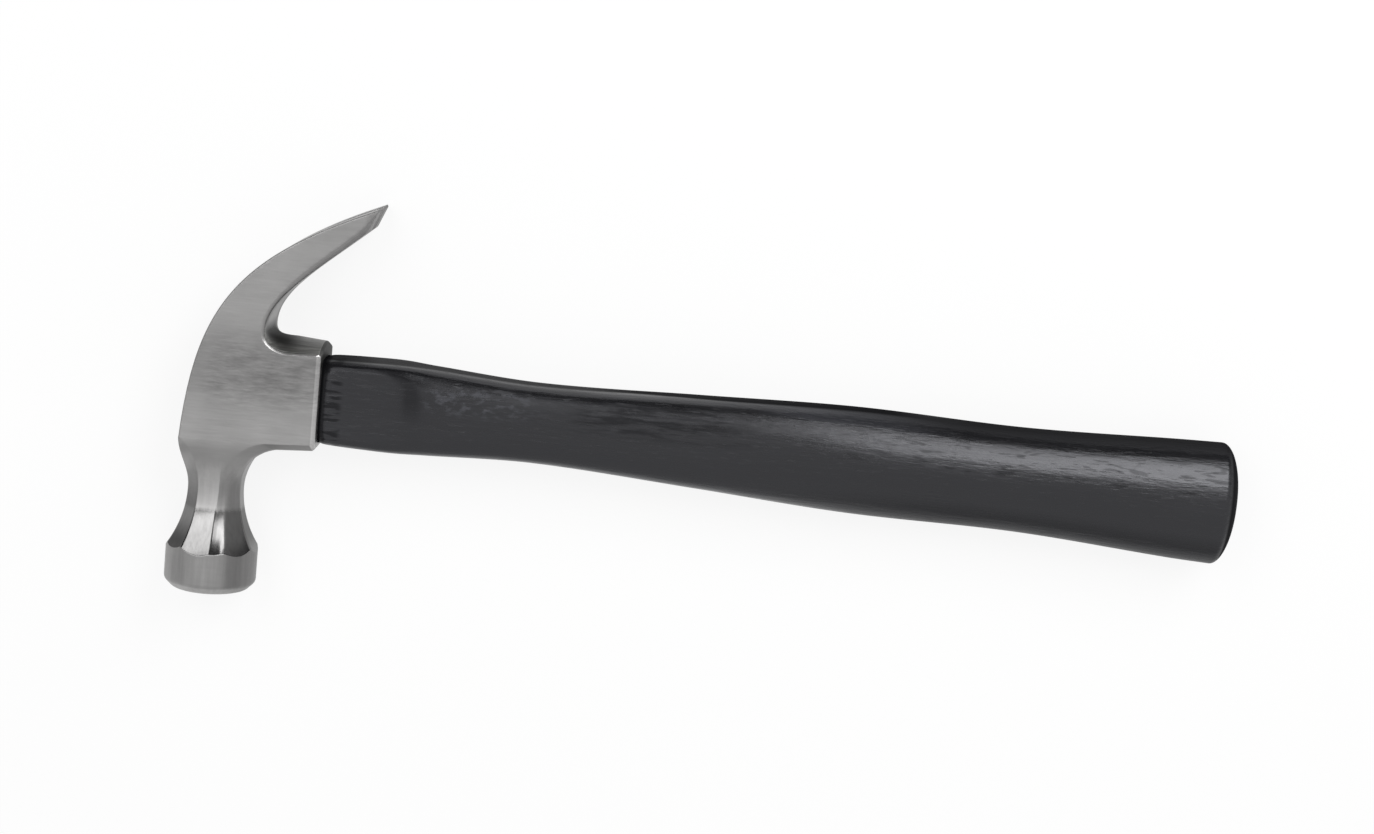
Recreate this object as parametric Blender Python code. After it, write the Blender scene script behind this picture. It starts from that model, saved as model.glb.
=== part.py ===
"""Curved claw hammer, lying on its side.

A forged head with a round poll, an octagonal neck, flat cheeks and a split curved claw. The tenon
of a wooden handle fills the tapered eye. A wooden wedge spreads the tenon, and two steel wedges
are driven across it. X runs from the head to the butt, Y from the striking face to the claw, and
Z out of the upper cheek. The hammer's own origin is where the poll axis meets the handle axis, and
the assembly stands on the centre of its box's bottom.
"""

from math import cos, pi, radians, sin, sqrt, tan

import bmesh
import bpy
from mathutils import Vector

MM = 0.001

# Poll and neck, measured from the handle axis
POLL_DIAMETER = 28.5 * MM
FACE_DROP = 63.4 * MM
FACE_CHAMFER = 2.5 * MM
FACE_CROWN = 0.4 * MM
FACE_FLAT_DIAMETER = 14.0 * MM
NECK_ACROSS_FLATS = 16.4 * MM
NECK_DROP = 31.0 * MM
FLARE_RADIUS = 35.0 * MM

# Bend of the neck's four corner rails, as shares of a rail's span: how far it rises straight off
# the octagon, and the reach and rise of its other handle
NECK_RIGHT_BEND = (0.63, 0.53, 0.93)
NECK_RIGHT_FRONT_BEND = (0.67, 0.375, 0.95)
NECK_LEFT_FRONT_BEND = (0.485, 0.315, 0.855)
NECK_LEFT_BEND = (0.4, 0.8, 0.65)

# Cheeks and socket, measured from the poll axis and the handle axis
CHEEK_WIDTH = 25.5 * MM
SOCKET_REACH = 31.4 * MM
SOCKET_DEPTH = 30.4 * MM
SOCKET_TOP_TAPER = 0.7 * MM
SOCKET_TOP_CROWN = 2.4 * MM
SOCKET_BOTTOM_SWELL = 0.9 * MM
SHOULDER_REACH = 19.5 * MM
SHOULDER_CHEEK_SHARE = 0.8
UNDERSIDE_BEVEL = 3.0 * MM
MOUTH_BEVEL = 0.8 * MM
EDGE_BEVEL = 0.5 * MM
CROWN_REACH = 10.5 * MM
CROWN_DROP = 14.4 * MM

# Claw, measured from the poll axis and the handle axis
CLAW_REACH = 45.0 * MM
CLAW_RISE = 61.0 * MM
CLAW_TIP_THICKNESS = 0.8 * MM
CLAW_HEEL_BACK = 2.4 * MM
CLAW_HEEL_DROP = 6.3 * MM
CLAW_ROOT_REACH = 13.6 * MM
CLAW_ROOT_FILLET = 5.4 * MM
CLAW_ROOT_ROUNDNESS = 0.6
CLAW_INNER_BEVEL = 1.6 * MM
NAIL_SLOT_LENGTH = 32.0 * MM
NAIL_SLOT_MOUTH = 9.6 * MM
NAIL_SLOT_ROOT = 2.0 * MM
NAIL_SLOT_DRAFT = radians(4)

# Bend of the claw's two edges: reach and rise of each handle, as shares of the edge's span
CROWN_BEND = ((0.05, 0.52), (0.22, 0.755))
HOLLOW_BEND = ((-0.035, 0.32), (0.425, 0.58))

# Shares of the crown's curve: at the eye's lower end, above the socket and halfway along the claw
EYE_CROWN_SHARE = 0.02
SOCKET_CROWN_SHARE = 0.24
CLAW_CROWN_SHARE = 0.67

# Eye: walls at the socket's mouth, pinch at its waist and flare towards the crown
SOCKET_WALL = 1.9 * MM
CHEEK_WALL = 3.6 * MM
EYE_WAIST_REACH = 7.0 * MM
EYE_PINCH = 1.8 * MM
EYE_FLARE = 0.9 * MM
EYE_SQUARENESS = 5.0

# Handle: where each half depth, thickness and squareness applies
BUTT_REACH = 318.2 * MM
BUTT_DOME = 6.1 * MM
SWELL_FROM_MOUTH = 18.0 * MM
SWELL_ABOVE = 13.6 * MM
SWELL_BELOW = 13.8 * MM
SWELL_THICKNESS = 20.4 * MM
WAIST_FROM_MOUTH = 67.0 * MM
WAIST_ABOVE = 11.3 * MM
WAIST_BELOW = 13.4 * MM
WAIST_THICKNESS = 20.0 * MM
GRIP_FROM_BUTT = 121.0 * MM
GRIP_ABOVE = 13.7 * MM
GRIP_BELOW = 19.6 * MM
GRIP_THICKNESS = 23.8 * MM
PALM_FROM_BUTT = 68.0 * MM
PALM_ABOVE = 12.4 * MM
PALM_BELOW = 20.4 * MM
PALM_THICKNESS = 24.0 * MM
FLARE_FROM_BUTT = 19.0 * MM
FLARE_ABOVE = 13.6 * MM
FLARE_BELOW = 23.8 * MM
FLARE_THICKNESS = 26.0 * MM
END_ABOVE = 13.8 * MM
END_BELOW = 24.4 * MM
END_THICKNESS = 26.4 * MM
WAIST_SQUARENESS = 3.2
GRIP_SQUARENESS = 2.5

# Wedges, and the clearances between touching pieces
FIT_GAP = 0.3 * MM
TENON_PROUD = 0.8 * MM
WOOD_WEDGE_LENGTH = 26.0 * MM
WOOD_WEDGE_WIDTH = 20.0 * MM
WOOD_WEDGE_THICKNESS = 5.0 * MM
WOOD_WEDGE_POINT = 1.4 * MM
STEEL_WEDGE_LENGTH = 14.0 * MM
STEEL_WEDGE_WIDTH = 13.0 * MM
STEEL_WEDGE_THICKNESS = 2.4 * MM
STEEL_WEDGE_POINT = 0.6 * MM
STEEL_WEDGE_SPACING = 10.0 * MM

# Mesh density
SIDE_STEPS = 6
FLARE_ROWS = 6
NECK_ROWS = 8
FILLET_ROWS = 5
CLAW_ROWS = 12
SLOT_ROOT_STEPS = 6
HANDLE_STEPS = 32
HANDLE_ROWS = 28
DOME_ROWS = 6

HALF_WIDTH = CHEEK_WIDTH / 2
POLL_RADIUS = POLL_DIAMETER / 2
OCTANT = pi / 4
SHARP_ANGLE = radians(25)
OVERCUT = 4.0 * MM
SLOT_CUTTER_HALF = 13.0 * MM


def lerp(start, end, share):
    return start + (end - start) * share


def curve_point(control, share):
    """Point of a cubic curve with two end points and two handles."""
    start, start_handle, end_handle, end = control
    rest = 1 - share
    pulled = 3 * rest * rest * share * start_handle + 3 * rest * share * share * end_handle
    return rest ** 3 * start + pulled + share ** 3 * end


def curve(control, count):
    return [curve_point(control, step / (count - 1)) for step in range(count)]


def clear_scene():
    for old in list(bpy.data.objects):
        bpy.data.objects.remove(old, do_unlink=True)


def make_material(name, colour, roughness, metallic):
    material = bpy.data.materials.new(name)
    material.use_nodes = True
    shader = material.node_tree.nodes["Principled BSDF"]
    shader.inputs["Base Color"].default_value = (*colour, 1.0)
    shader.inputs["Roughness"].default_value = roughness
    shader.inputs["Metallic"].default_value = metallic
    return material


def make_object(name, shape, assembly, material=None):
    """Turn a bmesh into an object that the assembly carries. A cutter has no material."""
    bmesh.ops.recalc_face_normals(shape, faces=shape.faces)
    mesh = bpy.data.meshes.new(name)
    shape.to_mesh(mesh)
    shape.free()
    mesh.shade_smooth()
    mesh.set_sharp_from_angle(angle=SHARP_ANGLE)
    made = bpy.data.objects.new(name, mesh)
    bpy.context.collection.objects.link(made)
    made.parent = assembly
    if material:
        mesh.materials.append(material)
    else:
        made.hide_render = True
        made.display_type = "WIRE"
    return made


def cut(target, cutter):
    boolean = target.modifiers.new(cutter.name, "BOOLEAN")
    boolean.operation = "DIFFERENCE"
    boolean.solver = "EXACT"
    boolean.object = cutter


def loft(rings):
    """Extrude one ring of points into the next, and close both ends."""
    shape = bmesh.new()
    loop = [shape.verts.new(point) for point in rings[0]]
    shape.faces.new(loop)
    for ring in rings[1:]:
        edges = [shape.edges.get(pair) for pair in zip(loop, loop[1:] + loop[:1])]
        grown = bmesh.ops.extrude_edge_only(shape, edges=edges)["geom"]
        fresh = {item for item in grown if isinstance(item, bmesh.types.BMVert)}
        twins = []
        for corner in loop:
            beside = (edge.other_vert(corner) for edge in corner.link_edges)
            twins.append(next(vert for vert in beside if vert in fresh))
        for twin, point in zip(twins, ring):
            twin.co = point
        loop = twins
    shape.faces.new(loop)
    return shape


# Head: rings of an eight-sided section, from the striking face to the claw's tip


def side_angles():
    """Angle of each point of one octagon side, measured from the middle of the side."""
    return [OCTANT * (step / SIDE_STEPS - 0.5) for step in range(SIDE_STEPS)]


def round_ring(radius, y):
    ring = []
    for side in range(8):
        for angle in side_angles():
            turn = side * OCTANT + angle
            ring.append(Vector((radius * cos(turn), y, radius * sin(turn))))
    return ring


def faceted_ring(right, right_front, left_front, left, bulge=Vector((0.0, 0.0, 0.0))):
    """Eight sides through four corners and their mirror images below the middle plane.

    The sides are flat, but for the right one, whose middle may bulge.
    """
    upper = [right, right_front, left_front, left]
    lower = [Vector((point.x, point.y, -point.z)) for point in upper]
    corners = [lower[0], *upper, *reversed(lower[1:])]
    shares = [0.5 + 0.5 * tan(angle) / tan(OCTANT / 2) for angle in side_angles()]
    ring = []
    for start, end in zip(corners, corners[1:] + corners[:1]):
        ring += [start.lerp(end, share) for share in shares]
    for point, share in zip(ring, shares):
        point += bulge * (1 - (2 * share - 1) ** 2)
    return ring


def poll_rings():
    """Crowned face, chamfer and the lower end of the round poll."""
    rim = FACE_DROP - FACE_CROWN
    return [
        round_ring(FACE_FLAT_DIAMETER / 2, -FACE_DROP),
        round_ring(POLL_RADIUS - FACE_CHAMFER, -rim),
        round_ring(POLL_RADIUS, FACE_CHAMFER - rim),
    ]


def flare_half_width(drop):
    """Half the width across flats at a drop below the thinnest part of the neck."""
    return NECK_ACROSS_FLATS / 2 + FLARE_RADIUS - sqrt(FLARE_RADIUS ** 2 - drop ** 2)


def flare_drop(half_width):
    """The drop at which the flare has a half width across flats."""
    rise = half_width - NECK_ACROSS_FLATS / 2
    return sqrt(FLARE_RADIUS ** 2 - (FLARE_RADIUS - rise) ** 2)


def flare_rings():
    """Octagonal flare, from the scallops that it leaves in the round poll up to the neck."""
    rings = []
    for row in range(FLARE_ROWS, 0, -1):
        ring = []
        for side in range(8):
            for angle in side_angles():
                drop = flare_drop(POLL_RADIUS * cos(angle)) * row / FLARE_ROWS
                radius = flare_half_width(drop) / cos(angle)
                turn = side * OCTANT + angle
                ring.append(Vector((radius * cos(turn), -NECK_DROP - drop, radius * sin(turn))))
        rings.append(ring)
    return rings


def socket_underside(x):
    share = (SOCKET_REACH - x) / (SOCKET_REACH - SHOULDER_REACH)
    return -SOCKET_DEPTH / 2 - SOCKET_BOTTOM_SWELL * share


def socket_top(x):
    share = (SOCKET_REACH - x) / (SOCKET_REACH - CLAW_ROOT_REACH)
    return SOCKET_DEPTH / 2 - SOCKET_TOP_TAPER * share


def neck_rail(start, end, bend):
    """Edge of the neck that leaves the octagon upright and leans over towards the cheek."""
    upright, reach, rise = bend
    start_handle = Vector((start.x, lerp(start.y, end.y, upright), start.z))
    end_handle = Vector((lerp(start.x, end.x, reach), lerp(start.y, end.y, rise), end.z))
    return curve((start, start_handle, end_handle, end), NECK_ROWS)


def neck_rings():
    """The octagonal neck opens out into the cheeks and the shoulder under the socket."""
    flat = NECK_ACROSS_FLATS / 2
    corner = flat * tan(OCTANT / 2)
    low = -NECK_DROP
    under = socket_underside(SHOULDER_REACH)
    cheek_reach = lerp(corner, SHOULDER_REACH, SHOULDER_CHEEK_SHARE)
    crown_corner = Vector((EDGE_BEVEL - CROWN_REACH, EDGE_BEVEL - CROWN_DROP, HALF_WIDTH))
    rails = (
        neck_rail(
            Vector((flat, low, corner)),
            Vector((SHOULDER_REACH, under, HALF_WIDTH - UNDERSIDE_BEVEL)),
            NECK_RIGHT_BEND,
        ),
        neck_rail(
            Vector((corner, low, flat)),
            Vector((cheek_reach, under + UNDERSIDE_BEVEL, HALF_WIDTH)),
            NECK_RIGHT_FRONT_BEND,
        ),
        neck_rail(Vector((-corner, low, flat)), crown_corner, NECK_LEFT_FRONT_BEND),
        neck_rail(
            Vector((-flat, low, corner)),
            Vector((-CROWN_REACH, -CROWN_DROP, HALF_WIDTH - EDGE_BEVEL)),
            NECK_LEFT_BEND,
        ),
    )
    return [faceted_ring(*corners) for corners in zip(*rails)]


def normal_at(points, index, turn):
    """Normal of a flat run of points, to the left of its direction (1) or to the right (-1)."""
    before = points[max(index - 1, 0)]
    after = points[min(index + 1, len(points) - 1)]
    along = (after - before).normalized()
    return turn * Vector((-along.y, along.x, 0.0))


def bevelled_corner(points, index, turn, bevel):
    """Corner on the narrow side, and corner on the cheek, where a bevel joins the two."""
    beside = points[index] + bevel * normal_at(points, index, turn)
    upright = Vector((0.0, 0.0, 1.0))
    return points[index] + (HALF_WIDTH - bevel) * upright, beside + HALF_WIDTH * upright


def claw_tip():
    return Vector((CLAW_REACH, CLAW_RISE, 0.0))


def bent_control(start, end, bend):
    """Control points of a curve whose two handles stand at shares of its span."""
    span = end - start
    handles = [start + Vector((reach * span.x, rise * span.y, 0.0)) for reach, rise in bend]
    return start, *handles, end


def crown_points(shares):
    """Outer edge of cheek and claw, from the corner above the neck to the claw's tip."""
    start = Vector((-CROWN_REACH, -CROWN_DROP, 0.0))
    control = bent_control(start, claw_tip(), CROWN_BEND)
    return [curve_point(control, share) for share in shares]


def hollow_points():
    """Socket's top, round root and concave side of the claw, up to the heel of the tip's bevel."""
    root_low = Vector((CLAW_ROOT_REACH, socket_top(CLAW_ROOT_REACH), 0.0))
    start_x = CLAW_ROOT_REACH + CLAW_ROOT_FILLET
    start = Vector((start_x, socket_top(start_x), 0.0))
    root = root_low + Vector((0.0, CLAW_ROOT_FILLET, 0.0))
    start_handle = start.lerp(root_low, CLAW_ROOT_ROUNDNESS)
    root_handle = root.lerp(root_low, CLAW_ROOT_ROUNDNESS)
    heel = claw_tip() - Vector((CLAW_HEEL_BACK, CLAW_HEEL_DROP, 0.0))
    fillet = curve((start, start_handle, root_handle, root), FILLET_ROWS)
    return fillet[:-1] + curve(bent_control(root, heel, HOLLOW_BEND), CLAW_ROWS)


def socket_corners():
    """Corners and bulge of the five rings that turn round the socket's end face."""
    mouth = SOCKET_REACH - MOUTH_BEVEL
    under = socket_underside(mouth)
    cheek_low = under + UNDERSIDE_BEVEL
    top = SOCKET_DEPTH / 2
    inner = HALF_WIDTH - UNDERSIDE_BEVEL
    rim = HALF_WIDTH - MOUTH_BEVEL
    edge = HALF_WIDTH - EDGE_BEVEL
    ends = [
        (Vector((mouth, under, inner)), cheek_low, 0.0),
        (Vector((SOCKET_REACH, under + MOUTH_BEVEL, inner)), cheek_low + MOUTH_BEVEL / 2, 0.0),
        (Vector((SOCKET_REACH, cheek_low + MOUTH_BEVEL, rim)), cheek_low + MOUTH_BEVEL, 0.0),
        (Vector((SOCKET_REACH, top - MOUTH_BEVEL, rim)), top - MOUTH_BEVEL, SOCKET_TOP_CROWN),
        (Vector((mouth, top, edge)), top - EDGE_BEVEL, SOCKET_TOP_CROWN),
    ]
    corners = []
    for end, cheek_y, bulge in ends:
        corners.append((end, Vector((mouth, cheek_y, HALF_WIDTH)), Vector((0.0, bulge, 0.0))))
    return corners


def body_rings():
    """Cheeks, socket and claw: right corners on the socket and hollow, left ones on the crown."""
    right_corners = socket_corners()
    socket_rows = len(right_corners)
    hollow = hollow_points()
    for index in range(len(hollow)):
        share = max(0, index - FILLET_ROWS) / (len(hollow) - 1 - FILLET_ROWS)
        bevel = lerp(EDGE_BEVEL, CLAW_INNER_BEVEL, share)
        crowning = SOCKET_TOP_CROWN * max(0.0, 1 - index / (FILLET_ROWS - 1))
        bulge = crowning * normal_at(hollow, index, -1)
        right_corners.append((*bevelled_corner(hollow, index, 1, bevel), bulge))
    shares = [SOCKET_CROWN_SHARE * (row + 1) / socket_rows for row in range(socket_rows)]
    for row in range(len(hollow)):
        shares.append(lerp(SOCKET_CROWN_SHARE, 1.0, (row + 1) / (len(hollow) + 1)))
    crown = crown_points(shares)
    rings = []
    for index, (right, right_front, bulge) in enumerate(right_corners):
        left, left_front = bevelled_corner(crown, index, -1, EDGE_BEVEL)
        rings.append(faceted_ring(right, right_front, left_front, left, bulge))
    return rings + [tip_ring(crown[-1])]


def tip_ring(before):
    """Narrow edge that ends the claw."""
    tip = claw_tip()
    along = (tip - before).normalized()
    under = tip + CLAW_TIP_THICKNESS * Vector((along.y, -along.x, 0.0))
    shares = ((0.0, EDGE_BEVEL), (0.3, 0.0), (0.7, 0.0), (1.0, EDGE_BEVEL))
    corners = [under.lerp(tip, share) for share, _ in shares]
    for corner, (_, bevel) in zip(corners, shares):
        corner.z = HALF_WIDTH - bevel
    return faceted_ring(*corners)


# Eye and tenon: the same tapered section, with the fit between them


def oval_ring(x, centre, half_depth, half_thickness, squareness):
    """Rounded section across the handle axis."""
    ring = []
    for step in range(HANDLE_STEPS):
        turn = 2 * pi * step / HANDLE_STEPS
        y = abs(cos(turn)) ** (2 / squareness) * (1 if cos(turn) > 0 else -1)
        z = abs(sin(turn)) ** (2 / squareness) * (1 if sin(turn) > 0 else -1)
        ring.append(Vector((x, centre + half_depth * y, half_thickness * z)))
    return ring


def eye_narrowing(x):
    """How much narrower the eye is at x than at the socket's mouth, on each side."""
    if x > EYE_WAIST_REACH:
        return EYE_PINCH * (SOCKET_REACH - x) / (SOCKET_REACH - EYE_WAIST_REACH)
    return EYE_PINCH - EYE_FLARE * (EYE_WAIST_REACH - x) / (EYE_WAIST_REACH + CROWN_REACH)


def eye_ring(x, gap):
    narrowing = eye_narrowing(x) + gap
    half_depth = SOCKET_DEPTH / 2 - SOCKET_WALL - narrowing
    half_thickness = HALF_WIDTH - CHEEK_WALL - narrowing
    return oval_ring(x, 0.0, half_depth, half_thickness, EYE_SQUARENESS)


def eye_cutter(assembly):
    stations = (-CROWN_REACH - OVERCUT, EYE_WAIST_REACH, SOCKET_REACH + OVERCUT)
    return make_object("eye_cutter", loft([eye_ring(x, 0.0) for x in stations]), assembly)


def nail_slot_outline(widening):
    """Half the V-shaped slot: distance from the claw's tip, and half the gap there."""
    root = NAIL_SLOT_ROOT / 2
    slope = (NAIL_SLOT_MOUTH / 2 - root) / (NAIL_SLOT_LENGTH - root)
    outline = [(-OVERCUT, NAIL_SLOT_MOUTH / 2 + slope * OVERCUT + widening)]
    for step in range(SLOT_ROOT_STEPS):
        turn = pi / 2 * step / SLOT_ROOT_STEPS
        reach = NAIL_SLOT_LENGTH - root + (root + widening) * sin(turn)
        outline.append((reach, (root + widening) * cos(turn)))
    return outline


def nail_slot_cutter(assembly):
    """Slot between the claws, drafted so that it is wider on the concave side."""
    tip = claw_tip()
    hollow = hollow_points()
    claw_middle = (hollow[FILLET_ROWS + CLAW_ROWS // 2] + crown_points([CLAW_CROWN_SHARE])[0]) / 2
    along = (claw_middle - tip).normalized()
    to_hollow = Vector((-along.y, along.x, 0.0))
    rings = []
    for level in (-SLOT_CUTTER_HALF, SLOT_CUTTER_HALF):
        half = nail_slot_outline((level + SLOT_CUTTER_HALF) * tan(NAIL_SLOT_DRAFT))
        both = half + [(reach, -gap) for reach, gap in reversed(half)]
        middle = tip + level * to_hollow
        rings.append([middle + reach * along + Vector((0.0, 0.0, gap)) for reach, gap in both])
    return make_object("nail_slot_cutter", loft(rings), assembly)


def make_head(assembly):
    steel = make_material("forged_steel", (0.52, 0.51, 0.49), 0.34, 1.0)
    rings = poll_rings() + flare_rings() + neck_rings() + body_rings()
    head = make_object("hammer_head", loft(rings), assembly, steel)
    cut(head, eye_cutter(assembly))
    cut(head, nail_slot_cutter(assembly))


# Handle


def handle_stations():
    """Place, height above and below the axis, half thickness and squareness along the handle."""
    mouth_depth = SOCKET_DEPTH / 2 - SOCKET_WALL - FIT_GAP
    mouth_thickness = HALF_WIDTH - CHEEK_WALL - FIT_GAP
    swell = SOCKET_REACH + SWELL_FROM_MOUTH
    waist = SOCKET_REACH + WAIST_FROM_MOUTH
    grip = BUTT_REACH - GRIP_FROM_BUTT
    palm = BUTT_REACH - PALM_FROM_BUTT
    flare = BUTT_REACH - FLARE_FROM_BUTT
    end = BUTT_REACH - BUTT_DOME
    return [
        (SOCKET_REACH, mouth_depth, mouth_depth, mouth_thickness, EYE_SQUARENESS),
        (swell, SWELL_ABOVE, SWELL_BELOW, SWELL_THICKNESS / 2, EYE_SQUARENESS),
        (waist, WAIST_ABOVE, WAIST_BELOW, WAIST_THICKNESS / 2, WAIST_SQUARENESS),
        (grip, GRIP_ABOVE, GRIP_BELOW, GRIP_THICKNESS / 2, GRIP_SQUARENESS),
        (palm, PALM_ABOVE, PALM_BELOW, PALM_THICKNESS / 2, GRIP_SQUARENESS),
        (flare, FLARE_ABOVE, FLARE_BELOW, FLARE_THICKNESS / 2, GRIP_SQUARENESS),
        (end, END_ABOVE, END_BELOW, END_THICKNESS / 2, GRIP_SQUARENESS),
    ]


def slope_at(stations, index, column):
    before = stations[max(index - 1, 0)]
    after = stations[min(index + 1, len(stations) - 1)]
    return (after[column] - before[column]) / (after[0] - before[0])


def smooth_value(stations, column, x):
    """Value at x of a smooth run through one column of the stations."""
    index = max(i for i in range(len(stations) - 1) if stations[i][0] <= x or i == 0)
    start, end = stations[index], stations[index + 1]
    span = end[0] - start[0]
    share = (x - start[0]) / span
    control = (
        start[column],
        start[column] + slope_at(stations, index, column) * span / 3,
        end[column] - slope_at(stations, index + 1, column) * span / 3,
        end[column],
    )
    return curve_point(control, share)


def handle_ring(stations, x, scale=1.0, end_x=None):
    """Section of the handle at x. The butt's dome shrinks it and moves it out to end_x."""
    above, below, half, squareness = (smooth_value(stations, column, x) for column in range(1, 5))
    centre = (above - below) / 2
    half_depth = (above + below) / 2 * scale
    return oval_ring(x if end_x is None else end_x, centre, half_depth, half * scale, squareness)


def handle_rings():
    """Tenon, handle and domed butt."""
    stations = handle_stations()
    end = stations[-1][0]
    rings = [eye_ring(x, FIT_GAP) for x in (-CROWN_REACH - OVERCUT, EYE_WAIST_REACH)]
    for row in range(HANDLE_ROWS + 1):
        rings.append(handle_ring(stations, lerp(SOCKET_REACH, end, row / HANDLE_ROWS)))
    for row in range(1, DOME_ROWS + 1):
        turn = pi / 2 * row / (DOME_ROWS + 0.5)
        rings.append(handle_ring(stations, end, cos(turn), end + BUTT_DOME * sin(turn)))
    return rings


def trim_to_crown(shape):
    """Cut off what stands further out of the eye than the tenon does."""
    low, high = crown_points([EYE_CROWN_SHARE, SOCKET_CROWN_SHARE])
    along = (high - low).normalized()
    outward = Vector((-along.y, along.x, 0.0))
    geometry = shape.verts[:] + shape.edges[:] + shape.faces[:]
    cut_edges = bmesh.ops.bisect_plane(
        shape,
        geom=geometry,
        plane_co=low + TENON_PROUD * outward,
        plane_no=outward,
        clear_outer=True,
    )["geom_cut"]
    rim = [item for item in cut_edges if isinstance(item, bmesh.types.BMEdge)]
    bmesh.ops.holes_fill(shape, edges=rim)
    return shape


def crown_middle():
    """Where the handle axis meets the crown."""
    low, high = crown_points([EYE_CROWN_SHARE, SOCKET_CROWN_SHARE])
    return lerp(low.x, high.x, -low.y / (high.y - low.y))


def wedge_shape(length, half_head, half_point, half_width, gap, flat_axis, offset=0.0):
    """Wedge driven along X into the tenon. Its thickness is across flat_axis."""
    start = crown_middle()
    slope = (half_head - half_point) / length
    rings = []
    for x in (start - OVERCUT, start + length + gap):
        thick = half_head - slope * (x - gap - start) + gap
        wide = half_width + gap
        half_y, half_z = (thick, wide) if flat_axis == "Y" else (wide, thick)
        corners = ((half_y, half_z), (-half_y, half_z), (-half_y, -half_z), (half_y, -half_z))
        rings.append([Vector((x, y + offset, z)) for y, z in corners])
    return loft(rings)


def wood_wedge_shape(gap, half_width):
    half_head, half_point = WOOD_WEDGE_THICKNESS / 2, WOOD_WEDGE_POINT / 2
    return wedge_shape(WOOD_WEDGE_LENGTH, half_head, half_point, half_width, gap, "Z")


def steel_wedge_shape(gap, side):
    half_head, half_point = STEEL_WEDGE_THICKNESS / 2, STEEL_WEDGE_POINT / 2
    offset = side * STEEL_WEDGE_SPACING / 2
    half_width = STEEL_WEDGE_WIDTH / 2
    return wedge_shape(STEEL_WEDGE_LENGTH, half_head, half_point, half_width, gap, "Y", offset)


def make_handle_and_wedges(assembly):
    black_paint = make_material("black_painted_wood", (0.018, 0.018, 0.020), 0.3, 0.0)
    bare_wood = make_material("wedge_wood", (0.47, 0.30, 0.16), 0.6, 0.0)
    handle = make_object("handle", trim_to_crown(loft(handle_rings())), assembly, black_paint)
    wood_shape = trim_to_crown(wood_wedge_shape(0.0, WOOD_WEDGE_WIDTH / 2))
    wood_wedge = make_object("wood_wedge", wood_shape, assembly, bare_wood)
    cut(handle, make_object("kerf_cutter", wood_wedge_shape(FIT_GAP, SOCKET_DEPTH), assembly))
    for side, name in ((1, "claw_side"), (-1, "poll_side")):
        steel = make_material(f"wedge_steel_{name}", (0.40, 0.39, 0.38), 0.45, 1.0)
        shape = trim_to_crown(steel_wedge_shape(0.0, side))
        make_object(f"steel_wedge_{name}", shape, assembly, steel)
        slot = make_object(f"slot_cutter_{name}", steel_wedge_shape(FIT_GAP, side), assembly)
        cut(handle, slot)
        cut(wood_wedge, slot)


def main():
    clear_scene()
    assembly = bpy.data.objects.new("hammer", None)
    bpy.context.collection.objects.link(assembly)
    assembly.location = (
        (POLL_RADIUS - BUTT_REACH) / 2,
        (FACE_DROP - CLAW_RISE) / 2,
        POLL_RADIUS,
    )
    make_head(assembly)
    make_handle_and_wedges(assembly)


main()
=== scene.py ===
"""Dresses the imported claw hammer: a softly edged steel head, a black painted handle and its wedges.

Lengths are in metres, and inside the materials in millimetres. Places on the hammer are measured from
its own origin, where the axis of the poll meets the axis of the handle: X runs to the butt, Y to the
claw, and Z out of the upper cheek.
"""

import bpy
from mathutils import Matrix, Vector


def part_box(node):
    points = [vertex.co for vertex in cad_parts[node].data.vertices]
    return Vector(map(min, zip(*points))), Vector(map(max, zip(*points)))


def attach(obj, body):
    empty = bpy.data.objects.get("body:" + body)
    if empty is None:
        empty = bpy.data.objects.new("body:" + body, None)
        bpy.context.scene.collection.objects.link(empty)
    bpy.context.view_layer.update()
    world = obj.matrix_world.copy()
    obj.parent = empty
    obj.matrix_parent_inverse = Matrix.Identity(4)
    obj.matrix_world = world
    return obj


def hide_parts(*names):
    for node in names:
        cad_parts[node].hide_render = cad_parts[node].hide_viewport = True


bl_info = {
    "name": "Claw hammer",
    "version": (1, 0, 0),
    "blender": (4, 5, 0),
    "location": "3D View > Sidebar > Hammer",
    "description": "Builds a claw hammer's head, handle, wedges and stage around its packed frame",
    "category": "Add Mesh",
}

from collections import namedtuple
from math import cos, pi, prod, radians, sin, sqrt, tan

import bmesh
import bpy
from bpy.props import FloatProperty, FloatVectorProperty, PointerProperty
from bpy.types import Operator, Panel, PropertyGroup
from mathutils import Matrix, Vector

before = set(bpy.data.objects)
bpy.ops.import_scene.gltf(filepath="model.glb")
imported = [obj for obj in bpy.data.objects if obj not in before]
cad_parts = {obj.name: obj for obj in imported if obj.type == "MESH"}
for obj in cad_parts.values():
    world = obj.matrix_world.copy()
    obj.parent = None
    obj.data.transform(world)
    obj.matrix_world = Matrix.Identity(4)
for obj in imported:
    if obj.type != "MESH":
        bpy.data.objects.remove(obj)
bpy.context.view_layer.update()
HEAD_LOW, HEAD_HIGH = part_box("hammer_head")
HANDLE_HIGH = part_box("handle")[1]

MM = 0.001
FACE_DROP = 63.4 * MM
CLAW_REACH = 45.0 * MM
ORIGIN = Vector((HEAD_HIGH[0] - CLAW_REACH, HEAD_LOW[1] + FACE_DROP, (HEAD_LOW[2] + HEAD_HIGH[2]) / 2))

# Poll and neck
FACE_CROWN = 0.4 * MM
FACE_CROWN_SHARES = (0.1, 0.4, 0.7)
NECK_RIGHT_BEND = (0.63, 0.53, 0.93)
NECK_RIGHT_FRONT_BEND = (0.67, 0.375, 0.95)
NECK_STRIP_BEND = (0.4, 0.5, 0.7)
NECK_LEFT_FRONT_BEND = (0.485, 0.315, 0.855)
NECK_LEFT_BEND = (0.4, 0.8, 0.65)
SHOULDER_CHEEK_SHARE = 0.8
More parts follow.
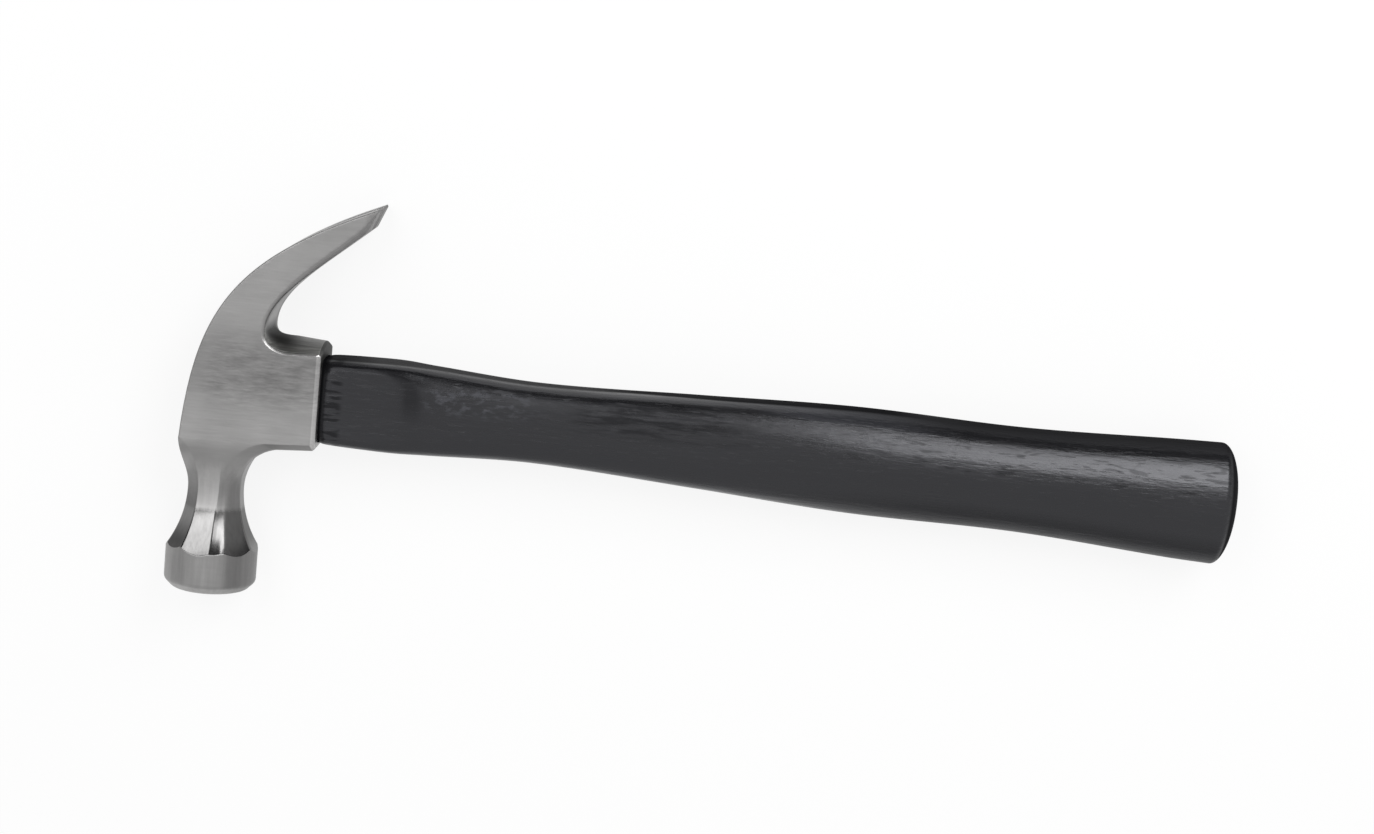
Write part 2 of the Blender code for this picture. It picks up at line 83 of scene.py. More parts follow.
# Where the octagon's edges stand at the thinnest neck and at the scallops, in half widths
STRIP_RIGHT_SHARES = (0.40, 0.05)
STRIP_LEFT_REACHES = (0.27, 0.10)
STRIP_LEFT_RISES = (1.0, 1.03)
LEFT_FRONT_REACHES = (-0.50, -0.58)
LEFT_FRONT_RISES = (1.0, 0.93)
CHEEK_STRIP_SHARE = 0.57

# Cheeks and socket
SOCKET_LIFT = 0.35 * MM
SOCKET_TOP_TAPER = 0.7 * MM
SOCKET_MOUTH_CROWN = 2.4 * MM
SOCKET_ROOT_CROWN = 3.6 * MM
SOCKET_BOTTOM_SWELL = 0.9 * MM
SHOULDER_REACH = 19.5 * MM
UNDERSIDE_BEVEL = 2.0 * MM
MOUTH_BEVEL = 0.8 * MM
MOUTH_CHEEK_BEVEL = 1.5 * MM
EDGE_BEVEL = 0.7 * MM
CROWN_BEVEL = 0.35 * MM
CROWN_REACH = 10.5 * MM
CROWN_DROP = 14.4 * MM

# Claw
CLAW_TIP_THICKNESS = 0.8 * MM
CLAW_TIP_SHARES = (0.3, 0.7)
CLAW_HEEL_BACK = 2.2 * MM
CLAW_HEEL_DROP = 6.9 * MM
CLAW_ROOT_REACH = 13.6 * MM
CLAW_ROOT_FILLET = 5.4 * MM
CLAW_ROOT_RUN = 7.8 * MM
CLAW_ROOT_ROUNDNESS = 0.52
CLAW_INNER_BEVEL = 1.6 * MM
CROWN_BEND = ((0.05, 0.52), (0.22, 0.755))
HOLLOW_BEND = ((-0.02, 0.32), (0.45, 0.575))
EYE_CROWN_SHARE = 0.02
SOCKET_CROWN_SHARE = 0.24
HEEL_CROWN_SHARE = 0.955
CLAW_CROWN_SHARE = 0.67
CLAW_HOLLOW_SHARE = 0.64
NAIL_SLOT_ROOT = 2.0 * MM
NAIL_SLOT_DRAFT = radians(4)
NAIL_SLOT_LEVEL = 13.0 * MM
NAIL_SLOT_ROOT_SPAN = 8.0 * MM

# Eye, tenon and wedges
SOCKET_WALL = 1.9 * MM
CHEEK_WALL = 3.6 * MM
EYE_WAIST_REACH = 7.0 * MM
EYE_PINCH = 1.8 * MM
EYE_FLARE = 0.9 * MM
EYE_SQUARENESS = 5.0
FIT_GAP = 0.3 * MM
TENON_PROUD = 0.8 * MM
OVERCUT = 4.0 * MM

# How far each edge is softened, and where an edge counts as sharp
SOFTNESS_LIMIT = 0.48
FACE_SOFTNESS = 0.8 * MM
POLL_SOFTNESS = 0.9 * MM
SCALLOP_SOFTNESS = 0.12 * MM
NECK_SOFTNESS = (0.0, 0.5 * MM, 0.9 * MM, 0.3 * MM, 0.35 * MM, 0.5 * MM, 0.0)
SHOULDER_SOFTNESS = (0.0, 1.3 * MM, 1.0 * MM, 0.4 * MM, 0.4 * MM, 0.3 * MM, 0.0)
BODY_SOFTNESS = (0.0, 0.5 * MM, 0.5 * MM, 0.0, 0.2 * MM, 0.2 * MM, 0.0)
MOUTH_SOFTNESS = 0.26 * MM
SLOT_SOFTNESS = 0.5 * MM
EYE_SOFTNESS = 0.35 * MM
EYE_SEGMENTS = 3
EYE_MERGE_GAP = 0.02 * MM
EYE_RIM_ANGLE = radians(50)
FLAT_SOFTNESS = 0.3 * MM
WEDGE_SOFTNESS = 0.25 * MM
WEDGE_SEGMENTS = 2
SHARP_ANGLE = radians(40)

# Mesh density
ARC_STEPS = 4
SIDE_STEPS = (6, 4, 4, 7, 4, 6, 6)
POLL_ROWS = 3
FLARE_ROWS = 16
NECK_ROWS = 20
FILLET_ROWS = 9
CLAW_ROWS = 36
SLOT_ROWS = 28
HANDLE_COLUMNS = 96
TENON_ROWS = 6
HANDLE_ROWS = 190
DOME_ROWS = 18
DOME_TIP_ROWS = 0.3

# Floor, surroundings, softboxes and camera
FLOOR_SQUARES = 8
DARK_TO_BRIGHT = (-0.33, 0.14)
BUTT_SIDE = (0.2, 0.9)
BUTT_SIDE_LIGHT = 0.6
SOFTBOX_DISTANCE = 1.0
Softbox = namedtuple("Softbox", "name reach lean width height radiance")
SOFTBOXES = (
    Softbox("head_softbox", -0.52, radians(30), 0.54, 0.85, 2.6),
    Softbox("butt_softbox", 0.42, radians(38), 0.54, 0.76, 4.7),
)
SENSOR_WIDTH = 36.0
CLIP_START = 0.01
VIEW_CENTRE = Vector((144.42, 5.416, 0.0)) * MM

OCTANT = pi / 4
UPRIGHT = Vector((0.0, 0.0, 1.0))
NEARLY_NOTHING = 1e-7


def length(name, description, default):
    return FloatProperty(name=name, description=description, default=default, unit="LENGTH", min=0.0)


def share(name, description, default):
    return FloatProperty(name=name, description=description, default=default, min=0.0, max=1.0)


def angle(name, description, degrees):
    return FloatProperty(name=name, description=description, default=radians(degrees), subtype="ANGLE")


def colour(name, description, default):
    return FloatVectorProperty(
        name=name, description=description, default=default, size=3, subtype="COLOR", min=0.0, max=1.0
    )


class HeadSizes(PropertyGroup):
    """Sizes of the steel head"""

    poll_diameter: length("Poll diameter", "Across the round poll", HEAD_HIGH[2] - HEAD_LOW[2])
    face_drop: length("Face drop", "From the handle's axis to the striking face", FACE_DROP)
    face_chamfer: length("Face chamfer", "Width of the chamfer round the face", 2.5 * MM)
    neck_across_flats: length("Neck", "Across the flats of the eight-sided neck", 16.4 * MM)
    neck_drop: length("Neck drop", "From the handle's axis to the thinnest neck", 31.0 * MM)
    flare_radius: length("Flare radius", "Radius with which the neck flares to the poll", 35.0 * MM)
    cheek_width: length("Cheek width", "Between the two flat cheeks", 25.5 * MM)
    socket_reach: length("Socket reach", "From the poll's axis to the socket's mouth", 31.4 * MM)
    socket_depth: length("Socket depth", "From the socket's underside to its top", 30.4 * MM)
    claw_reach: length("Claw reach", "From the poll's axis to the claw's tip", CLAW_REACH)
    claw_rise: length("Claw rise", "From the handle's axis to the claw's tip", HEAD_HIGH[1] - ORIGIN.y)
    slot_length: length("Slot length", "From the claw's tip to the nail slot's root", 32.0 * MM)
    slot_mouth: length("Slot mouth", "Gap between the claw's two tips", 9.6 * MM)


class HandleSizes(PropertyGroup):
    """Sizes of the handle and its wedges"""

    butt_reach: length("Butt reach", "From the poll's axis to the butt", HANDLE_HIGH[0] - ORIGIN.x)
    butt_dome: length("Butt dome", "How far the butt is rounded", 6.1 * MM)
    flat_thickness: length("Flat thickness", "Between the flats beside the socket", 20.6 * MM)
    flat_length: length("Flat length", "How far the flats may reach from the socket", 40.0 * MM)
    waist_thickness: length("Waist thickness", "At the slimmest place", 19.8 * MM)
    grip_thickness: length("Grip thickness", "Where the hand holds it", 23.8 * MM)
    butt_thickness: length("Butt thickness", "At the flared end", 26.4 * MM)
    wood_wedge_length: length("Wood wedge length", "How deep it is driven", 26.0 * MM)
    wood_wedge_width: length("Wood wedge width", "Along its head", 20.0 * MM)
    wood_wedge_head: length("Wood wedge head", "Its thickness where it was struck", 5.0 * MM)
    wood_wedge_point: length("Wood wedge point", "Its thickness at the point", 1.4 * MM)
    steel_wedge_length: length("Steel wedge length", "How deep it is driven", 14.0 * MM)
    steel_wedge_width: length("Steel wedge width", "Along its head", 13.0 * MM)
    steel_wedge_head: length("Steel wedge head", "Its thickness where it was struck", 2.4 * MM)
    steel_wedge_point: length("Steel wedge point", "Its thickness at the point", 0.6 * MM)
    steel_wedge_spacing: length("Steel wedge spacing", "Between the two steel wedges", 10.0 * MM)


class Finishes(PropertyGroup):
    """Colours and gloss of the materials"""

    ground_steel: colour("Ground steel", "Flat ground cheeks and turned poll", (0.362, 0.358, 0.356))
    forged_steel: colour("Forged steel", "Socket's top that keeps its forged skin", (0.15, 0.15, 0.145))
    # Painted shade: a black laid over the corner under the claw, the socket's end, the flare's right facet,
    # the claw's tip and its hollow, where shade and dark reflections fall
    painted_black_shade: colour("Forge scale", "Black skin in the corner under the claw", (0.012, 0.012, 0.011))
    wedge_steel: colour("Wedge steel", "Two small wedges in the eye", (0.24, 0.235, 0.23))
    black_paint: colour("Black paint", "Satin paint on the handle", (0.004, 0.004, 0.005))
    # Painted shade: this dull black stands for the shade along the handle's edges, on the butt's end, in
    # the seam at the socket's mouth and in streaks below the waist's stripe; it also colours the pitted and
    # marked paint
    dull_paint_and_painted_shade: colour("Dull paint", "Where the handle's paint is dull", (0.0085, 0.0085, 0.0096))
    # Painted highlight: light specks of reflection beside the flats and a sheen on the claw's side of the
    # grip
    painted_highlight_tint: colour("Scuffed paint", "Light specks beside the flats", (0.034, 0.035, 0.041))
    bare_wood: colour("Bare wood", "Wedge in the end of the handle", (0.42, 0.25, 0.12))
    steel_roughness: share("Steel roughness", "Of the ground cheeks", 0.42)
    polish_roughness: share("Polish roughness", "Of the polished flare", 0.19)
    paint_roughness: share("Paint roughness", "Of the painted handle", 0.27)
    paint_sheen: colour("Paint sheen", "Tint of what the paint reflects", (0.94, 0.945, 1.0))
    paint_gloss: FloatProperty(name="Paint gloss", description="Index of refraction", default=1.66, min=1.0)


class StageSizes(PropertyGroup):
    """Floor, light and camera"""

    floor_size: length("Floor size", "Half the width of the floor", 3.0)
    floor_colour: colour("Floor colour", "Matt floor", (0.95, 0.95, 0.95))
    floor_whiteness: share("Floor whiteness", "How much of the shadow is hidden", 0.85)
    bright_side: share("Bright side", "Brightness overhead and on the poll's side", 0.66)
    dark_side: share("Dark side", "Brightness low on the claw's side", 0.06)
    bright_lean: angle("Bright lean", "Lean of the brightest surroundings towards the poll's side", 70)
    camera_distance: length("Camera distance", "From the middle of the view", 0.75)
    camera_tilt: angle("Camera tilt", "Lean towards the claw's side", 9.4)
    camera_turn: angle("Camera turn", "Turn about the upright", 5.7)
    camera_lens: FloatProperty(
        name="Camera lens", description="Focal length in millimetres", default=63.1, min=1.0
    )


# Mesh helpers


def lerp(start, end, part):
    return start + (end - start) * part


def ease(part):
    """Smooth step from 0 to 1."""
    return part * part * (3 - 2 * part)


def curve_point(control, part):
    """Point of a cubic curve with two end points and two handles."""
    start, start_handle, end_handle, end = control
    rest = 1 - part
    pulled = 3 * rest * rest * part * start_handle + 3 * rest * part * part * end_handle
    return rest ** 3 * start + pulled + part ** 3 * end


def curve(control, count):
    return [curve_point(control, step / (count - 1)) for step in range(count)]


def step_towards(corner, other, distance):
    """Point at a distance from a corner, but never past the middle of the way."""
    span = other - corner
    if span.length < NEARLY_NOTHING:
        return corner.copy()
    return corner + span * min(distance / span.length, SOFTNESS_LIMIT)


def arc_points(before, corner, after, softness):
    """Points that round a corner off, from its softness along one side to that along the other."""
    start = step_towards(corner, before, softness)
    end = step_towards(corner, after, softness)
    parts = [step / ARC_STEPS for step in range(ARC_STEPS + 1)]
    return [start.lerp(corner, part).lerp(corner.lerp(end, part), part) for part in parts]


def soft_ring(corners, softness):
    """Ring of points through softened corners, with the sides between them divided evenly."""
    arcs = []
    for index, corner in enumerate(corners):
        after = corners[(index + 1) % len(corners)]
        arcs.append(arc_points(corners[index - 1], corner, after, softness[index]))
    ring = []
    for index, arc in enumerate(arcs):
        following = arcs[(index + 1) % len(arcs)][0]
        steps = SIDE_STEPS[index]
        ring += arc
        ring += [arc[-1].lerp(following, step / steps) for step in range(1, steps)]
    return ring


def soften_rows(rows):
    """Rings in order, where each row that has a softness becomes an arc of rings."""
    rings = []
    for index, (ring, softness) in enumerate(rows):
        if softness:
            beside = zip(rows[index - 1][0], ring, rows[index + 1][0])
            arcs = [arc_points(before, point, after, softness) for before, point, after in beside]
            rings += [list(row) for row in zip(*arcs)]
        else:
            rings.append(ring)
    return rings


def loft(rings):
    """Extrude a circle through a run of rings, and close both ends."""
    shape = bmesh.new()
    made = bmesh.ops.create_circle(shape, cap_ends=True, segments=len(rings[0]), radius=1.0)
    loop = made["verts"]
    for vert, point in zip(loop, rings[0]):
        vert.co = point
    for ring in rings[1:]:
        edges = [shape.edges.get(pair) for pair in zip(loop, loop[1:] + loop[:1])]
        grown = bmesh.ops.extrude_edge_only(shape, edges=edges)["geom"]
        fresh = {item for item in grown if isinstance(item, bmesh.types.BMVert)}
        twins = []
        for corner in loop:
            beside = (edge.other_vert(corner) for edge in corner.link_edges)
            twins.append(next(vert for vert in beside if vert in fresh))
        for twin, point in zip(twins, ring):
            twin.co = point
        loop = twins
    shape.faces.new(loop)
    return shape


def add_object(name, data):
    added = bpy.data.objects.new(name, data)
    bpy.context.collection.objects.link(added)
    return added


def make_piece(name, shape, material=None):
    """Turn a bmesh into an object that stands in its place on the hammer."""
    bmesh.ops.remove_doubles(shape, verts=shape.verts, dist=NEARLY_NOTHING)
    bmesh.ops.recalc_face_normals(shape, faces=shape.faces)
    bmesh.ops.translate(shape, vec=ORIGIN, verts=shape.verts)
    mesh = bpy.data.meshes.new(name)
    shape.to_mesh(mesh)
    shape.free()
    mesh.shade_smooth()
    if material:
        mesh.materials.append(material)
    return add_object(name, mesh)


def cut_away(piece, cutters):
    """Cut shapes out of a piece, and keep only the result."""
    for cutter in cutters:
        boolean = piece.modifiers.new(cutter.name, "BOOLEAN")
        boolean.operation = "DIFFERENCE"
        boolean.solver = "EXACT"
        boolean.object = cutter
    evaluated = piece.evaluated_get(bpy.context.evaluated_depsgraph_get())
    whole = piece.data
    piece.data = bpy.data.meshes.new_from_object(evaluated)
    piece.modifiers.clear()
    bpy.data.meshes.remove(whole)
    for cutter in cutters:
        bpy.data.meshes.remove(cutter.data)


def bevel_edges(shape, edges, softness, segments):
    bmesh.ops.bevel(
        shape,
        geom=edges,
        offset=softness,
        offset_type="OFFSET",
        affect="EDGES",
        segments=segments,
        profile=0.5,
        material=-1,
        clamp_overlap=True,
    )
    return shape


def even_shading(piece):
    """Shade smoothly except at sharp edges, with the large faces deciding the normals."""
    piece.data.set_sharp_from_angle(angle=SHARP_ANGLE)
    weighted = piece.modifiers.new("even_shading", "WEIGHTED_NORMAL")
    weighted.keep_sharp = True


def dress(piece, node):
    """Shade a piece smoothly, hang it from the root body, and hide the frame's solid that it stands for."""
    even_shading(piece)
    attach(piece, "root")
    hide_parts(node)


# Head: half sections between the middle plane and the upper cheek, with a wall in the middle plane


def half_ring(corners, softness, slot=None):
    """Half section through five corners. The wall in the middle opens where the nail slot is."""
    right_middle = Vector((corners[0].x, corners[0].y, 0.0))
    left_middle = Vector((corners[-1].x, corners[-1].y, 0.0))
    softness = list(softness)
    if slot:
        for index, middle in ((0, right_middle), (-1, left_middle)):
            middle.z = slot.half_gap(middle)
            softness[index] = min(SLOT_SOFTNESS, middle.z / 2)
    ring = soft_ring((right_middle, *corners, left_middle), softness)
    if slot:
        for point in ring[1 - SIDE_STEPS[-1]:]:
            point.z = slot.half_gap(point)
    return ring


def cheek_corners(right, right_front, left_front, left):
    """Corners of a section with a flat cheek, where the neck's narrow strip runs out."""
    return right, right_front, left_front.lerp(right_front, CHEEK_STRIP_SHARE), left_front, left


def neck_corners(half_width, y, part):
    """Corners of the ground octagon at a part of the way from the thinnest neck to the scallops."""
    corner = tan(OCTANT / 2)
    right = Vector((1.0, 0.0, corner))
    right_front = Vector((corner, 0.0, 1.0))
    strip_right = right_front.lerp(right, lerp(*STRIP_RIGHT_SHARES, part))
    strip_left = Vector((lerp(*STRIP_LEFT_REACHES, part), 0.0, lerp(*STRIP_LEFT_RISES, part)))
    left_front = Vector((lerp(*LEFT_FRONT_REACHES, part), 0.0, lerp(*LEFT_FRONT_RISES, part)))
    left = Vector((-1.0, 0.0, corner))
    rise = Vector((0.0, y, 0.0))
    return [half_width * unit + rise for unit in (right, strip_right, strip_left, left_front, left)]


class PollShape:
    """Round poll and the eight-sided flare that scallops it"""

    def __init__(self, head):
        self.head = head
        self.radius = head.poll_diameter / 2
        self.neck_half = head.neck_across_flats / 2
        self.rim = self.unit_ring(1.0)

    def unit_ring(self, part):
        softness = [edge / self.neck_half for edge in NECK_SOFTNESS]
        return half_ring(neck_corners(1.0, 0.0, part), softness)

    def flare_half_width(self, drop):
        radius = self.head.flare_radius
        return self.neck_half + radius - sqrt(radius ** 2 - drop ** 2)

    def flare_drop(self, half_width):
        radius = self.head.flare_radius
        return sqrt(radius ** 2 - (radius - half_width + self.neck_half) ** 2)

    def scallop_drop(self, point):
        """How far below the thinnest neck the flare meets the poll, towards a point."""
        return self.flare_drop(self.radius / max(point.length, 1.0))

    def round_ring(self, radius, y):
        rise = Vector((0.0, y, 0.0))
        return [point * radius / max(point.length, 1.0) + rise for point in self.rim]

    def flare_ring(self, part):
        """Ring at a part of the way from the thinnest neck down to the scallops."""
        ring = []
        for point, below in zip(self.unit_ring(part), self.rim):
            drop = self.scallop_drop(below) * part
            rise = Vector((0.0, -self.head.neck_drop - drop, 0.0))
            ring.append(point * self.flare_half_width(drop) + rise)
        return ring

    def rows(self):
        """Striking face, chamfer, poll and flare, up to the neck."""
        head = self.head
        rim = self.radius - head.face_chamfer
        low = FACE_CROWN - head.face_drop
        rows = []
        for part in FACE_CROWN_SHARES:
            rows.append((self.round_ring(rim * part, FACE_CROWN * part ** 2 - head.face_drop), 0.0))
        rows.append((self.round_ring(rim, low), FACE_SOFTNESS))
        chamfer_top = self.round_ring(self.radius, low + head.face_chamfer)
        scallop = self.flare_ring(1.0)
        rows.append((chamfer_top, POLL_SOFTNESS))
        for row in range(1, POLL_ROWS):
            sides = zip(chamfer_top, scallop)
            rows.append(([below.lerp(above, row / POLL_ROWS) for below, above in sides], 0.0))
        rows.append((scallop, SCALLOP_SOFTNESS))
        for row in range(FLARE_ROWS - 1, 0, -1):
            rows.append((self.flare_ring(row / FLARE_ROWS), 0.0))
        return rows


def socket_underside(head, x):
    part = (head.socket_reach - x) / (head.socket_reach - SHOULDER_REACH)
    return SOCKET_LIFT - head.socket_depth / 2 - SOCKET_BOTTOM_SWELL * part


def socket_top(head, x):
    part = (head.socket_reach - x) / (head.socket_reach - CLAW_ROOT_REACH)
    return SOCKET_LIFT + head.socket_depth / 2 - SOCKET_TOP_TAPER * part


def neck_rail(start, end, bend):
    """Edge of the neck that leaves the octagon upright and runs out smoothly on the cheek."""
    upright, reach, rise = bend
    start_handle = Vector((start.x, lerp(start.y, end.y, upright), 0.0))
    end_handle = Vector((lerp(start.x, end.x, reach), lerp(start.y, end.y, rise), 0.0))
    rail = curve((start, start_handle, end_handle, end), NECK_ROWS)
    for point in rail:
        point.z = lerp(start.z, end.z, ease((point.y - start.y) / (end.y - start.y)))
    return rail


def shoulder_corners(head):
    """Corners of the section where the neck ends under the cheek and the socket."""
    half_width = head.cheek_width / 2
    under = socket_underside(head, SHOULDER_REACH)
    flat_corner = head.neck_across_flats / 2 * tan(OCTANT / 2)
    cheek_reach = lerp(flat_corner, SHOULDER_REACH, SHOULDER_CHEEK_SHARE)
    crown_corner = Vector((-CROWN_REACH, -CROWN_DROP, half_width - CROWN_BEVEL))
    return cheek_corners(
        Vector((SHOULDER_REACH, under, half_width - UNDERSIDE_BEVEL)),
        Vector((cheek_reach, under + UNDERSIDE_BEVEL, half_width)),
        crown_corner + Vector((CROWN_BEVEL, CROWN_BEVEL, CROWN_BEVEL)),
        crown_corner,
    )


def neck_rows(head):
    """The octagonal neck opens out into the cheeks and the shoulder under the socket."""
    starts = neck_corners(head.neck_across_flats / 2, -head.neck_drop, 0.0)
    bends = (
        NECK_RIGHT_BEND,
        NECK_RIGHT_FRONT_BEND,
        NECK_STRIP_BEND,
        NECK_LEFT_FRONT_BEND,
        NECK_LEFT_BEND,
    )
    rails = [neck_rail(*rail) for rail in zip(starts, shoulder_corners(head), bends)]
    rows = []
    for row, corners in enumerate(zip(*rails)):
        part = row / (NECK_ROWS - 1)
        softness = [lerp(low, high, part) for low, high in zip(NECK_SOFTNESS, SHOULDER_SOFTNESS)]
        rows.append((half_ring(corners, softness), 0.0))
    return rows


def bent_control(start, end, bend):
    """Control points of a curve whose two handles stand at shares of its span."""
    span = end - start
    handles = [start + Vector((reach * span.x, rise * span.y, 0.0)) for reach, rise in bend]
    return start, *handles, end


def claw_tip(head):
    return Vector((head.claw_reach, head.claw_rise, 0.0))


def crown_points(head, parts):
    """Outer edge of cheek and claw, from the corner above the neck to the claw's tip."""
    control = bent_control(Vector((-CROWN_REACH, -CROWN_DROP, 0.0)), claw_tip(head), CROWN_BEND)
    return [curve_point(control, part) for part in parts]


def hollow_control(head):
    root = Vector((CLAW_ROOT_REACH, socket_top(head, CLAW_ROOT_REACH) + CLAW_ROOT_FILLET, 0.0))
    heel = claw_tip(head) - Vector((CLAW_HEEL_BACK, CLAW_HEEL_DROP, 0.0))
    return bent_control(root, heel, HOLLOW_BEND)


def fillet_points(head):
    """Round root between the socket's top and the claw."""
    root_low = Vector((CLAW_ROOT_REACH, socket_top(head, CLAW_ROOT_REACH), 0.0))
    start_x = CLAW_ROOT_REACH + CLAW_ROOT_RUN
    start = Vector((start_x, socket_top(head, start_x), 0.0))
    root = root_low + Vector((0.0, CLAW_ROOT_FILLET, 0.0))
    start_handle = start.lerp(root_low, CLAW_ROOT_ROUNDNESS)
    root_handle = root.lerp(root_low, CLAW_ROOT_ROUNDNESS)
    return curve((start, start_handle, root_handle, root), FILLET_ROWS)


class NailSlot:
    """V-shaped slot between the claws, drafted so that it is wider on the concave side"""

    def __init__(self, head):
        self.tip = claw_tip(head)
        self.root = NAIL_SLOT_ROOT / 2
        self.straight = head.slot_length - self.root
        self.slope = (head.slot_mouth / 2 - self.root) / self.straight
        hollow = curve_point(hollow_control(head), CLAW_HOLLOW_SHARE)
        crown = crown_points(head, [CLAW_CROWN_SHARE])[0]
        self.along = ((hollow + crown) / 2 - self.tip).normalized()
        self.to_hollow = UPRIGHT.cross(self.along)

    def reach(self, point):
        return (point - self.tip).dot(self.along)

    def half_gap(self, point):
        level = (point - self.tip).dot(self.to_hollow)
        radius = self.root + (level + NAIL_SLOT_LEVEL) * tan(NAIL_SLOT_DRAFT)
        past = self.reach(point) - self.straight
        if past < 0:
            return radius - self.slope * past
        return sqrt(max(radius ** 2 - past ** 2, 0.0))


def claw_parts(head, slot):
    """Parts of the way along the hollow, closer together round the nail slot's root."""
    control = hollow_control(head)
    even = [step / (CLAW_ROWS - 1) for step in range(CLAW_ROWS)]
    distances = [abs(slot.reach(curve_point(control, part)) - slot.straight) for part in even]
    near = [part for part, distance in zip(even, distances) if distance < NAIL_SLOT_ROOT_SPAN]
    start, end = min(near), max(near)
    inside = [lerp(start, end, (step + 0.5) / SLOT_ROWS) for step in range(SLOT_ROWS)]
    return sorted(set(even) - set(near) | set(inside) | {start, end})


def normal_at(points, index, turn):
    """Normal of a flat run of points, to the left of its direction (1) or to the right (-1)."""
    before = points[max(index - 1, 0)]
    after = points[min(index + 1, len(points) - 1)]
    return turn * UPRIGHT.cross(after - before).normalized()


def bevelled_corner(points, index, turn, bevel, half_width):
    """Corner on the narrow side, and corner on the cheek, where a bevel joins the two."""
    beside = points[index] + bevel * normal_at(points, index, turn)
    return points[index] + (half_width - bevel) * UPRIGHT, beside + half_width * UPRIGHT


def socket_corners(head):
    """Right corners, crown and softness of the rows that turn round the socket's end face."""
    half_width = head.cheek_width / 2
    mouth = head.socket_reach - MOUTH_BEVEL
    under = socket_underside(head, mouth)
    cheek_low = under + UNDERSIDE_BEVEL
    top = socket_top(head, mouth)
    inner = half_width - UNDERSIDE_BEVEL
    rim = half_width - MOUTH_BEVEL
    end = head.socket_reach
    soft = MOUTH_SOFTNESS
    crown = SOCKET_MOUTH_CROWN
    places = (
        (Vector((mouth, under, inner)), cheek_low, 0.0, soft),
        (Vector((end, under + MOUTH_BEVEL, inner)), cheek_low + MOUTH_BEVEL / 2, 0.0, soft),
        (Vector((end, cheek_low + MOUTH_BEVEL, rim)), cheek_low + MOUTH_BEVEL, 0.0, 0.0),
        (Vector((end, top - MOUTH_BEVEL, rim)), top - MOUTH_BEVEL, crown, soft),
        (Vector((mouth, top, half_width - EDGE_BEVEL)), top - EDGE_BEVEL, crown, soft),
    )
    corners = []
    for right, cheek_y, raised, softness in places:
        right_front = Vector((end - MOUTH_CHEEK_BEVEL, cheek_y, half_width))
        corners.append((right, right_front, Vector((0.0, raised, 0.0)), softness))
    return corners


def hollow_corners(head, slot):
    """Right corners, crown and softness of the rows along the round root and the claw's hollow."""
    half_width = head.cheek_width / 2
    control = hollow_control(head)
    hollow = [curve_point(control, part) for part in claw_parts(head, slot)]
    points = fillet_points(head)[:-1] + hollow
    corners = []
    for index in range(len(points)):
        part = max(0, index - FILLET_ROWS) / (len(points) - 1 - FILLET_ROWS)
        bevel = lerp(EDGE_BEVEL, CLAW_INNER_BEVEL, part)
        crowning = SOCKET_ROOT_CROWN * max(0.0, 1 - (index / (FILLET_ROWS - 1)) ** 2)
        crown = crowning * normal_at(points, index, -1)
        corners.append((*bevelled_corner(points, index, 1, bevel, half_width), crown, 0.0))
    return corners


def crown_ring(ring, right, crown):
    """Raise the middle of the socket's top into a slight crown."""
    for point in ring[:ARC_STEPS + 1 + SIDE_STEPS[0]]:
        point += crown * max(0.0, 1 - (point.z / right.z) ** 2)
    return ring


def tip_corners(head, before):
    """Corners of the narrow edge that ends the claw."""
    half_width = head.cheek_width / 2
    tip = claw_tip(head)
    under = tip + CLAW_TIP_THICKNESS * (tip - before).normalized().cross(UPRIGHT)
    low, high = CLAW_TIP_SHARES
    places = ((0.0, EDGE_BEVEL), (low, 0.0), (high, 0.0), (1.0, CROWN_BEVEL))
    return [under.lerp(tip, part) + (half_width - bevel) * UPRIGHT for part, bevel in places]


def body_rows(head):
    """Cheeks, socket and claw: right corners on the socket and hollow, left ones on the crown."""
    half_width = head.cheek_width / 2
    slot = NailSlot(head)
    socket = socket_corners(head)
    hollow = hollow_corners(head, slot)
    parts = [SOCKET_CROWN_SHARE * (row + 1) / len(socket) for row in range(len(socket))]
    for row in range(len(hollow)):
        parts.append(lerp(SOCKET_CROWN_SHARE, HEEL_CROWN_SHARE, (row + 1) / len(hollow)))
    points = crown_points(head, parts)
    rows = []
    for index, (right, right_front, crown, softness) in enumerate(socket + hollow):
        left, left_front = bevelled_corner(points, index, -1, CROWN_BEVEL, half_width)
        opening = slot if index >= len(socket) + FILLET_ROWS else None
        corners = cheek_corners(right, right_front, left_front, left)
        ring = half_ring(corners, BODY_SOFTNESS, opening)
        rows.append((crown_ring(ring, right, crown), softness))
    tip = half_ring(cheek_corners(*tip_corners(head, points[-1])), BODY_SOFTNESS, slot)
    return rows + [(tip, 0.0)]


def head_shape(head):
    """Loft half the head, open its middle wall, and mirror it into the other half."""
    shape = loft(soften_rows(PollShape(head).rows() + neck_rows(head) + body_rows(head)))
    bmesh.ops.remove_doubles(shape, verts=shape.verts, dist=NEARLY_NOTHING)
    wall = [face for face in shape.faces if all(abs(vert.co.z) < NEARLY_NOTHING for vert in face.verts)]
    bmesh.ops.delete(shape, geom=wall, context="FACES")
    everything = shape.verts[:] + shape.edges[:] + shape.faces[:]
    bmesh.ops.mirror(shape, geom=everything, matrix=Matrix(), merge_dist=NEARLY_NOTHING, axis="Z")
    return shape


# Eye, tenon and wedges


def oval_ring(x, centre, half_depth, half_thickness, squareness):
    """Rounded section across the handle axis."""
    ring = []
    for step in range(HANDLE_COLUMNS):
        turn = 2 * pi * step / HANDLE_COLUMNS
        y = abs(cos(turn)) ** (2 / squareness) * (1 if cos(turn) > 0 else -1)
        z = abs(sin(turn)) ** (2 / squareness) * (1 if sin(turn) > 0 else -1)
        ring.append(Vector((x, centre + half_depth * y, half_thickness * z)))
    return ring


